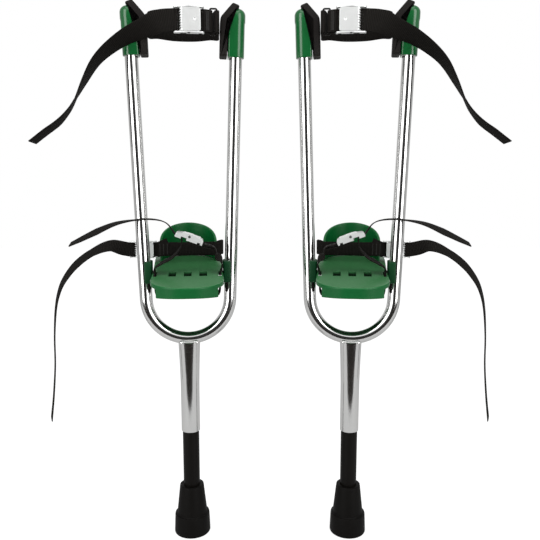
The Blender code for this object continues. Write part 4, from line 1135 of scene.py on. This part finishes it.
def smooth_path(route, steps, closed=False):
    """Points and width directions on a smooth curve through the route's own points."""
    places = [Vector(place) for place, _ in route]
    across = [Vector(width).normalized() for _, width in route]
    count = len(route)
    path = []
    for index in range(count if closed else count - 1):
        ring = [index - 1, index, index + 1, index + 2]
        ring = [k % count if closed else min(max(k, 0), count - 1) for k in ring]
        a, b, c, d = (places[k] for k in ring)
        reach = (c - b).length
        leave = (c - a).normalized() * reach
        arrive = (d - b).normalized() * reach
        for k in range(steps):
            t = k / steps
            place = b * (2 * t**3 - 3 * t**2 + 1) + leave * (t**3 - 2 * t**2 + t)
            place += c * (3 * t**2 - 2 * t**3) + arrive * (t**3 - t**2)
            path.append((place, across[ring[1]].lerp(across[ring[2]], t)))
    if not closed:
        path.append((places[-1], across[-1]))
    return path


def stations(path, closed=False):
    """For each point of a path: its place, the directions along, across and off the strip, and the run so far."""
    made, run = [], 0.0
    for index, (place, across) in enumerate(path):
        before = path[index - 1][0] if closed or index else place
        after = path[(index + 1) % len(path)][0] if closed or index + 1 < len(path) else place
        along = (after - before).normalized()
        side = (across - along * across.dot(along)).normalized()
        if index:
            run += (place - path[index - 1][0]).length
        made.append((place, along, side, side.cross(along), run))
    return made


def weave_strip(name, path, width, thickness, closed=False):
    """Flat webbing lofted along a path, with soft edges and a map in metres along and across it."""
    soft, half, turn = thickness / 2, width / 2, thickness / 8
    flank = [(half * 0.4, soft), (half - soft, soft), (half - turn, soft * 0.6), (half, 0)]
    section = flank + [(a, -b) for a, b in reversed(flank[:-1])]
    section += [(-a, b) for a, b in reversed(section)]
    bm = bmesh.new()
    maps = bm.loops.layers.uv.new("weave")
    rings, runs = [], []
    for place, _, side, normal, run in stations(path, closed):
        rings.append([bm.verts.new(place + side * a + normal * b) for a, b in section])
        runs.append(run)
    pairs = list(zip(range(len(rings)), range(1, len(rings))))
    if closed:
        runs.append(runs[-1] + (path[0][0] - path[-1][0]).length)
        pairs.append((len(rings) - 1, 0))
    for first, second in pairs:
        for k in range(len(section)):
            m = (k + 1) % len(section)
            face = bm.faces.new((rings[first][k], rings[first][m], rings[second][m], rings[second][k]))
            face.smooth = True
            ends = (runs[first], runs[first], runs[first + 1], runs[first + 1])
            for loop, at, corner in zip(face.loops, ends, (k, m, m, k)):
                loop[maps].uv = (at, section[corner][0])
    if not closed:
        for ring, at in ((rings[0], runs[0]), (list(reversed(rings[-1])), runs[-1])):
            face = bm.faces.new(list(reversed(ring)))
            for loop in face.loops:
                loop[maps].uv = (at, 0)
    bmesh.ops.recalc_face_normals(bm, faces=bm.faces)
    return lofted(name, bm)


def lofted(name, bm):
    """The object of a mesh made in code."""
    mesh = bpy.data.meshes.new(name)
    bm.to_mesh(mesh)
    bm.free()
    piece = bpy.data.objects.new(name, mesh)
    bpy.context.scene.collection.objects.link(piece)
    return piece


def sew(path, rows, width, plan):
    """Dense rows of thread loops across a strip's outer face, at these points of its path."""
    web = plan.web
    loop = start("uv_sphere", "loop", segments=6, ring_count=5, radius=0.5)
    settle(loop, Matrix.Diagonal((web.stitch_length, web.stitch_pitch * 0.95, web.stitch_height, 1)))
    bm = bmesh.new()
    frames = stations(path)
    count = int((width - 2 * web.stitch_inset) / web.stitch_pitch)
    for row in rows:
        place, along, side, normal, _ = frames[row]
        turn = Matrix((along, side, normal)).transposed().to_4x4()
        for k in range(count):
            at = place + side * ((k + 0.5 - count / 2) * web.stitch_pitch) + normal * (web.thickness / 2)
            known = len(bm.verts)
            bm.from_mesh(loop.data)
            bm.verts.ensure_lookup_table()
            bmesh.ops.transform(bm, matrix=Matrix.Translation(at) @ turn, verts=bm.verts[known:])
    for face in bm.faces:
        face.smooth = True
    bmesh.ops.recalc_face_normals(bm, faces=bm.faces)
    bpy.data.objects.remove(loop)
    return lofted("stitches", bm)


def in_frame(matrix, points, across=(0, 1, 0)):
    """Route entries for (x, z) or (x, y, z) points given in another frame."""
    width = matrix.to_3x3() @ Vector(across)
    return [(matrix @ Vector((p[0], 0, p[1]) if len(p) == 2 else p), width) for p in points]


def frame_at(place, nose, out):
    """The matrix with x along the nose direction and z along the outward direction."""
    x, z = Vector(nose).normalized(), Vector(out).normalized()
    return Matrix.Translation(place) @ Matrix((x, z.cross(x), z)).transposed().to_4x4()


def arc(centre, radius, first, last, steps=4):
    """(x, z) points on an arc, by angles in degrees."""
    turns = [radians(first + (last - first) * k / steps) for k in range(steps + 1)]
    return [(centre[0] + radius * cos(turn), centre[1] + radius * sin(turn)) for turn in turns]


def buckle_frames(plan):
    web = plan.web
    slope = Vector((cos(web.toe_slope), 0, sin(web.toe_slope)))
    row = (plan.plate_frame @ Vector((0, plan.plate.slot_row, 0))).y
    ankle = Vector((plan.arm_at_plate + web.ankle_out, web.ankle_y, plan.plate_height + web.ankle_rise))
    return {
        "calf_": frame_at(Vector((web.calf_x, web.calf_y, plan.calf_height)), (1, 0, 0), (0, -1, 0)),
        "toe_": frame_at(Vector((web.toe_x, row, plan.plate_height + web.toe_rise)), slope, (-slope.z, 0, slope.x)),
        "ankle_": frame_at(ankle, (1, 0, 0), (0, -1, 0)),
    }


def thread(plan, approach, entry):
    """(x, z) points of webbing coming up through the slot and back over the base, under the lever's teeth."""
    buckle = plan.buckle
    edge = buckle.slot_nose + GAP
    turn = arc((edge, buckle.base / 2), buckle.wrap, entry, 90)
    return [(edge + x, z) for x, z in approach] + turn + [(buckle.thread_end, plan.over)]


def round_bar(plan):
    """(x, z) points of webbing turning over the anchor bar, and on past the buckle's tail."""
    buckle = plan.buckle
    turn = arc((buckle.bar - buckle.tail, buckle.base / 2), buckle.wrap, -90, 90)
    return turn + [(plan.past_bar, plan.over)]


def sewn_end(plan, kick=0):
    """Points of webbing sewn back on itself round the anchor bar, its cut end pushed aside by the kick."""
    lap = plan.past_bar - plan.buckle.sewn_lap
    cut_end = [(lap, kick, plan.over - plan.layer - GAP), (plan.past_bar, plan.under)]
    return cut_end + round_bar(plan) + [(lap, plan.over)]


def calf_line(plan):
    """How far out the calf webbing runs, against the pads."""
    ends, web = plan.ends, plan.web
    face = plan.arm_x(plan.calf_height - web.calf / 2)
    return face - (plan.cap_flat + GAP + ends.pad_thickness) / cos(plan.tube.arm_lean) - plan.layer


def calf_ring(plan):
    """Where the ring's bar and middle are across the leg, and the webbing's radius round its wire."""
    wrap = plan.web.ring_wire / 2 + plan.layer / 2 + 2 * GAP
    bar = wrap - calf_line(plan)
    return bar, bar + plan.web.ring_width / 2, wrap


def calf_route(plan, home):
    web, buckle = plan.web, plan.buckle
    line = calf_line(plan)
    bar, _, wrap = calf_ring(plan)
    edge = plan.ends.pad_width / 2
    loop = [(bar + 2 * wrap, web.ring_y + edge, 0)]
    loop += [(x, y, 0) for x, y in arc((bar, web.ring_y), wrap, 0, -180)]
    loop += [(-line, 0, 0), (-line, edge, 0)]
    loop += [(share * line, y, CALF_BACK_RISE) for share, y in CALF_BACK]
    loop += [(line, edge, 0), (line, 0, 0)] + [(share * line, y, 0) for share, y in CALF_FRONT]
    route = [(Vector((x, y, plan.calf_height + rise)), (0, 0, 1)) for x, y, rise in loop]
    nose = buckle.nose - buckle.slot_nose
    return route + in_frame(home, thread(plan, [(nose, plan.under), (nose / 2, plan.under)], CALF_ENTRY))


def calf_link_route(plan, home):
    web = plan.web
    _, middle, wrap = calf_ring(plan)
    ring = (middle + web.ring_width / 2 - web.calf_x, web.calf_y - web.ring_y)
    return in_frame(home, round_bar(plan) + arc(ring, wrap, 90, 270) + [(plan.past_bar, plan.under)])


def toe_route(plan, home):
    plate = plan.plate
    level = Vector((0, (plan.plate_frame @ Vector((0, plate.slot_row, 0))).y, plan.plate_height))
    side = plan.side_slot_x
    under = -plate.skirt_toe - plan.layer - TOE_SLACK
    leg = [(side, 0), (side, -plate.thickness), (side, under + TOE_TUCK)]
    leg += [(plan.toe_half, under), (plan.toe_half / 2, under)]
    below = [(-x, plate.slot_row, z) for x, z in leg] + [(x, plate.slot_row, z) for x, z in reversed(leg)]
    route = in_frame(home, sewn_end(plan))
    route += [(level + Vector((inset - side, 0, rise)), (0, 1, lean)) for inset, rise, lean in TOE_INNER]
    route += in_frame(plan.plate_frame, below)
    route += [(level + Vector((side - inset, 0, rise)), (0, 1, lean)) for inset, rise, lean in TOE_ARCH]
    return route + in_frame(home, thread(plan, TOE_APPROACH, TOE_ENTRY))


def ankle_route(plan, home):
    plate = plan.plate
    reach = plan.cup_radius + plate.cup_wall / 2 + plan.layer
    height = (plan.plate_frame.inverted() @ home.translation).z
    low = height - ANKLE_BACK_DROP
    around = [(share * reach, y, height) for share, y in ANKLE_FRONT]
    around += [(reach * sin(radians(turn)), reach * cos(radians(turn)), low) for turn in ANKLE_BACK]
    around.append((ANKLE_OUTER[0] * reach, ANKLE_OUTER[1], low))
    round_cup = [(x, plate.cup_centre + y, z) for x, y, z in around]
    route = in_frame(home, sewn_end(plan, ANKLE_LAP_KICK))
    route += in_frame(plan.plate_frame, round_cup, across=(0, 0, 1))
    return route + in_frame(home, thread(plan, ANKLE_APPROACH, ANKLE_ENTRY))


def tail_route(plan, home, places):
    first, last = plan.buckle.thread_end + GAP, plan.buckle.nose
    straight = [(x, plan.over) for x in (first, (first + last) / 2, last)]
    return in_frame(home, straight) + [(home.translation + Vector(place), across) for place, across in places]


class STILTS_OT_tails(bpy.types.Operator):
    """Models the free ends of the webbing"""

    bl_idname = "stilts.tails"
    bl_label = "Free webbing ends"

    def execute(self, context):
        scene = context.scene
        plan = layout(scene)
        tails = {"calf_": CALF_TAIL, "toe_": TOE_TAIL, "ankle_": ANKLE_TAIL}
        for name, home in buckle_frames(plan).items():
            width = plan.widths[name]
            path = smooth_path(tail_route(plan, home, tails[name]), TAIL_STEPS)
            strip = weave_strip("tail", path, width, plan.web.thickness)
            span = sum((b[0] - a[0]).length for a, b in zip(path, path[1:]))
            made = set_down(scene, strip, name + "free_end", name + "tail", "webbing")
            for side, sign in SIDES:
                line = [stilt_matrix(scene, sign) @ place for place, _ in path]
        return {"FINISHED"}


class STILTS_OT_straps(bpy.types.Operator):
    """Models the webbing round the calf, over the toe and round the ankle"""

    bl_idname = "stilts.straps"
    bl_label = "Straps"

    def execute(self, context):
        scene = context.scene
        plan = layout(scene)
        homes = buckle_frames(plan)
        past_turn = len(round_bar(plan)) - 1
        past_lap = len(sewn_end(plan)) - 2
        for name, node, buckle, find_route, closed, lap, rows in (
            ("calf_band", "calf_strap", "calf_", calf_route, False, 0, ()),
            ("calf_link", "calf_anchor_strap", "calf_", calf_link_route, True, past_turn, (1, 2, 3, 4)),
            ("toe_band", "toe_strap", "toe_", toe_route, False, past_lap, (1, 3, 5)),
            ("ankle_band", "ankle_strap", "ankle_", ankle_route, False, past_lap, (1, 3, 5)),
        ):
            width = plan.widths[buckle]
            path = smooth_path(find_route(plan, homes[buckle]), STRAP_STEPS, closed)
            strip = weave_strip(name, path, width, plan.web.thickness, closed)
            set_down(scene, strip, name, node, "webbing")
            if rows:
                stitches = sew(path, [lap * STRAP_STEPS + row for row in rows], width, plan)
                set_down(scene, stitches, name + "_stitches", None, "webbing", finish="thread")
        return {"FINISHED"}


def model_ring(plan):
    """The rectangular ring: a wire swept round its outline."""
    web = plan.web
    _, middle, _ = calf_ring(plan)
    height = web.calf + 2 * web.ring_corner + web.ring_slack
    corners = [
        (x * web.ring_width / 2, z * height / 2, web.ring_corner) for x, z in ((1, -1), (1, 1), (-1, 1), (-1, -1))
    ]
    points = [(middle + x, web.ring_y, plan.calf_height + z) for x, z in rounded(corners, 8)]
    curve = bpy.data.curves.new("ring", "CURVE")
    curve.dimensions = "3D"
    curve.bevel_depth = web.ring_wire / 2
    curve.bevel_resolution = 5
    spline = curve.splines.new("POLY")
    spline.points.add(len(points) - 1)
    spline.use_cyclic_u = True
    for point, place in zip(spline.points, points):
        point.co = (*place, 1)
    piece = bpy.data.objects.new("ring", curve)
    bpy.context.scene.collection.objects.link(piece)
    only(piece)
    bpy.ops.object.convert(target="MESH")
    return closed_up(bpy.context.object, 60)


def model_buckle(plan, width):
    """A buckle's channel in its own frame: its side view drawn across, hollowed, slotted and bored."""
    buckle = plan.buckle
    inside = width / 2 + buckle.side_gap
    outside = inside + buckle.wall
    piece = drawn_across("buckle", rounded([
        (-buckle.tail, 0, 0), (buckle.nose, 0, buckle.base), (buckle.nose, buckle.nose_height, buckle.cheek_round),
        (buckle.pin_wall, buckle.height, buckle.pin_wall), (-buckle.pin_wall, buckle.height, buckle.pin_wall),
        (-buckle.tail, buckle.tail_height, buckle.cheek_round),
    ]), outside)
    low, high = (-2 * buckle.tail, -inside, buckle.base), (2 * buckle.nose, inside, 2 * buckle.height)
    cut(piece, block("channel", low, high))
    bar = buckle.bar - buckle.tail
    for back, nose, notch in (
        (bar, bar + buckle.anchor_slot, buckle.anchor_notch),
        (buckle.slot_back, buckle.slot_nose, buckle.slot_notch),
    ):
        cut(piece, block("slot", (back, -2 * outside, -buckle.base), (nose, 2 * outside, notch)))
    bore(piece, buckle.pin_radius + GAP, 2 * outside, buckle.pin_height)
    eased(piece, buckle.edge, 2, 50)
    return closed_up(piece, 20)


def model_lever(plan, width):
    """A lever about its pin: its side view drawn across, rounded at the thumb, toothed, bored and dimpled."""
    buckle = plan.buckle
    half = width / 2 + buckle.side_gap - buckle.lever_gap
    sheet, rise = buckle.lever_plate, buckle.lever_rise
    tip = buckle.base + plan.layer + 2 * GAP - buckle.pin_height
    piece = drawn_across("lever", rounded([
        (buckle.lever_nose - sheet, tip, 0), (buckle.lever_nose, tip, 0),
        (buckle.lever_nose - sheet, rise, buckle.lever_brow), (-buckle.lever_thumb, rise, sheet / 2),
        (-buckle.lever_thumb, rise - sheet, sheet / 3), (-buckle.hub, rise - sheet, sheet / 2),
        (-buckle.hub, -buckle.hub, buckle.hub), (buckle.hub, -buckle.hub, 0),
    ]), half)
    back, side, front = -buckle.lever_thumb - GAP, half + GAP, 2 * buckle.lever_nose
    trim = rounded([
        (back, -side, buckle.lever_corner), (front, -side, 0), (front, side, 0), (back, side, buckle.lever_corner)
    ])
    cut(piece, drawn_up("trim", trim, -2 * buckle.height, 2 * buckle.height), "INTERSECT")
    bore(piece, buckle.pin_radius + GAP, 2 * half)
    count = int(2 * half / buckle.tooth_pitch)
    first = (0.5 - count / 2) * buckle.tooth_pitch
    diamond = buckle.tooth_pitch * 0.48
    notch = start("cylinder", "notch", vertices=4, radius=diamond, depth=4 * rise, location=(0, first, tip))
    stretch = Matrix.Diagonal((buckle.tooth_depth / buckle.tooth_pitch, 1, 1, 1))
    settle(notch, Matrix.Translation((buckle.lever_nose + buckle.tooth_out, 0, 0)) @ stretch)
    finished(
        notch, "ARRAY", "row", count=count, use_relative_offset=False, use_constant_offset=True,
        constant_offset_displace=(0, buckle.tooth_pitch, 0),
    )
    cut(piece, notch)
    ball = buckle.dimple_ball
    dimple = start(
        "uv_sphere", "dimple", segments=48, ring_count=48, radius=ball,
        location=(-buckle.dimple, 0, rise + ball - buckle.dimple_depth),
    )
    cut(piece, dimple)
    eased(piece, buckle.edge, 2, 50)
    return closed_up(piece, 20)


def model_pin(plan, width):
    """A lever's pin about Y: a turned shank with a peened head at each end."""
    buckle = plan.buckle
    cheek = width / 2 + buckle.side_gap + buckle.wall
    reach = cheek + buckle.pin_head
    head = 1.5 * buckle.pin_radius
    end = [(head * 0.5, reach), (head * 0.85, reach - GAP), (head, reach - 2 * GAP), (head, cheek + GAP)]
    end.append((buckle.pin_radius, cheek + GAP))
    piece = lathe("pin", [(wide, -tall) for wide, tall in end] + end[::-1], PIN_STEPS)
    return settle(piece, Matrix.Rotation(pi / 2, 4, "X"))


class STILTS_OT_hardware(bpy.types.Operator):
    """Models the rings, and the buckles with their levers and pins"""

    bl_idname = "stilts.hardware"
    bl_label = "Rings and buckles"

    def execute(self, context):
        scene = context.scene
        plan = layout(scene)
        set_down(scene, model_ring(plan), "wire_ring", "calf_ring", "ring")
        for name, home in buckle_frames(plan).items():
            width = plan.widths[name]
            pivot = home @ Matrix.Translation((0, 0, plan.buckle.pin_height))
            channel = settle(model_buckle(plan, width), home)
            lever = settle(model_lever(plan, width), pivot)
            pin = settle(model_pin(plan, width), pivot)
            set_down(scene, channel, name + "channel", name + "buckle", "zinc")
            set_down(scene, lever, name + "cam", name + "lever", "zinc", body=name + "lever")
            set_down(scene, pin, name + "rivet", name + "pin", "zinc", "rivet_steel")
        return {"FINISHED"}


def light_world(scene):
    """A studio that shows as white, with a room for the chrome to mirror, dark below and round the camera."""
    world = bpy.data.worlds.new("studio")
    scene.world = world
    finish = Finish("studio", world)
    finish.tree.nodes.clear()
    way = finish.node("TexCoord", output="Generated")
    toward, up = (finish.node("SeparateXYZ", Vector=way, output=axis) for axis in "YZ")
    walls = finish.node("ValToRGB", {"stops": MIRRORED}, Fac=toward * 0.5 + 0.5, output="Color")
    room = finish.node("ValToRGB", {"stops": ROOM}, Fac=up * 0.5 + 0.5, output="Color")
    mirrored = finish.shades(room, ROOM_DARK, walls)
    plain = finish.node("Background", Color=(1, 1, 1, 1), Strength=1.0)
    glossy = finish.node("Background", Color=mirrored, Strength=1.0)
    soft = finish.node("Background", Color=(1, 1, 1, 1), Strength=WORLD_SOFT)
    lit = finish.node(
        "MixShader", Fac=finish.node("LightPath", output="Is Glossy Ray"), Shader=soft, Shader_001=glossy
    )
    shown = finish.either("Is Camera Ray", "Is Transmission Ray")
    out = finish.tree.nodes.new("ShaderNodeOutputWorld")
    finish.feed(out.inputs["Surface"], finish.node("MixShader", Fac=shown, Shader=lit, Shader_001=plain))


def lay_floor(look):
    """A floor that shows as white but for the shadow on it, and ends short of the camera."""
    piece = start("plane", "floor", size=FLOOR_SIDE, location=FLOOR_PLACE)
    finish = Finish("studio_floor")
    seen = finish.node("LightPath", output="Is Camera Ray")
    mirrored = finish.node("LightPath", output="Is Glossy Ray")
    glow = finish.shades(seen, finish.shades(mirrored, (0, 0, 0), (MIRROR_GLOW,) * 3), (FLOOR_GLOW,) * 3)
    piece.data.materials.append(finish.surface(
        Base_Color=(*look.floor, 1), Roughness=0.9, Specular_IOR_Level=0.0,
        Emission_Color=glow, Emission_Strength=1.0,
    ))


def hang_lamp(name, place, target, size, power):
    data = bpy.data.lights.new(name, "AREA")
    data.shape = "RECTANGLE"
    data.size, data.size_y = size
    data.energy = power
    lamp = bpy.data.objects.new(name, data)
    bpy.context.scene.collection.objects.link(lamp)
    lamp.location = place
    lamp.rotation_euler = (Vector(target) - Vector(place)).to_track_quat("-Z", "Y").to_euler()


class STILTS_OT_stage(bpy.types.Operator):
    """Sets the floor, the studio light and the camera"""

    bl_idname = "stilts.stage"
    bl_label = "Stage"

    def execute(self, context):
        scene = context.scene
        scene.view_settings.view_transform = "Standard"
        light_world(scene)
        lay_floor(scene.stilt_look)
        for lamp in LAMPS:
            hang_lamp(*lamp)
        data = bpy.data.cameras.new("camera")
        data.lens = LENS
        data.sensor_width = SENSOR
        camera = bpy.data.objects.new("camera", data)
        scene.collection.objects.link(camera)
        camera.location = CAMERA_PLACE
        camera.rotation_euler = (radians(90 - CAMERA_DIP), 0, 0)
        scene.camera = camera
        return {"FINISHED"}


class STILTS_OT_finishes(bpy.types.Operator):
    """Mixes the finishes that the pieces take"""

    bl_idname = "stilts.finishes"
    bl_label = "Finishes"

    def execute(self, context):
        FINISH.update(mix_finishes(layout(context.scene), context.scene.stilt_look))
        return {"FINISHED"}


STEPS = (
    STILTS_OT_finishes, STILTS_OT_stage, STILTS_OT_tails, STILTS_OT_frames, STILTS_OT_pegs,
    STILTS_OT_arm_ends, STILTS_OT_plates, STILTS_OT_straps, STILTS_OT_hardware,
)


class STILTS_PT_panel(bpy.types.Panel):
    """Lists the steps that dress the stilts"""

    bl_idname = "STILTS_PT_panel"
    bl_label = "Peg stilts"
    bl_space_type = "VIEW_3D"
    bl_region_type = "UI"
    bl_category = "Peg stilts"

    def draw(self, context):
        for step in STEPS:
            self.layout.operator(step.bl_idname)


GROUPS = {
    "stilt_frame": FrameSizes, "stilt_ends": EndSizes, "stilt_plate": PlateSizes,
    "stilt_web": WebSizes, "stilt_buckle": BuckleSizes, "stilt_look": Finishes,
}


def register():
    for group in (*GROUPS.values(), *STEPS, STILTS_PT_panel):
        bpy.utils.register_class(group)
    for name, group in GROUPS.items():
        setattr(bpy.types.Scene, name, PointerProperty(type=group))


def unregister():
    for name in GROUPS:
        delattr(bpy.types.Scene, name)
    for group in reversed((*GROUPS.values(), *STEPS, STILTS_PT_panel)):
        bpy.utils.unregister_class(group)


def main():
    register()
    for step in STEPS:
        family, action = step.bl_idname.split(".")
        getattr(getattr(bpy.ops, family), action)()


if __name__ == "__main__":
    main()
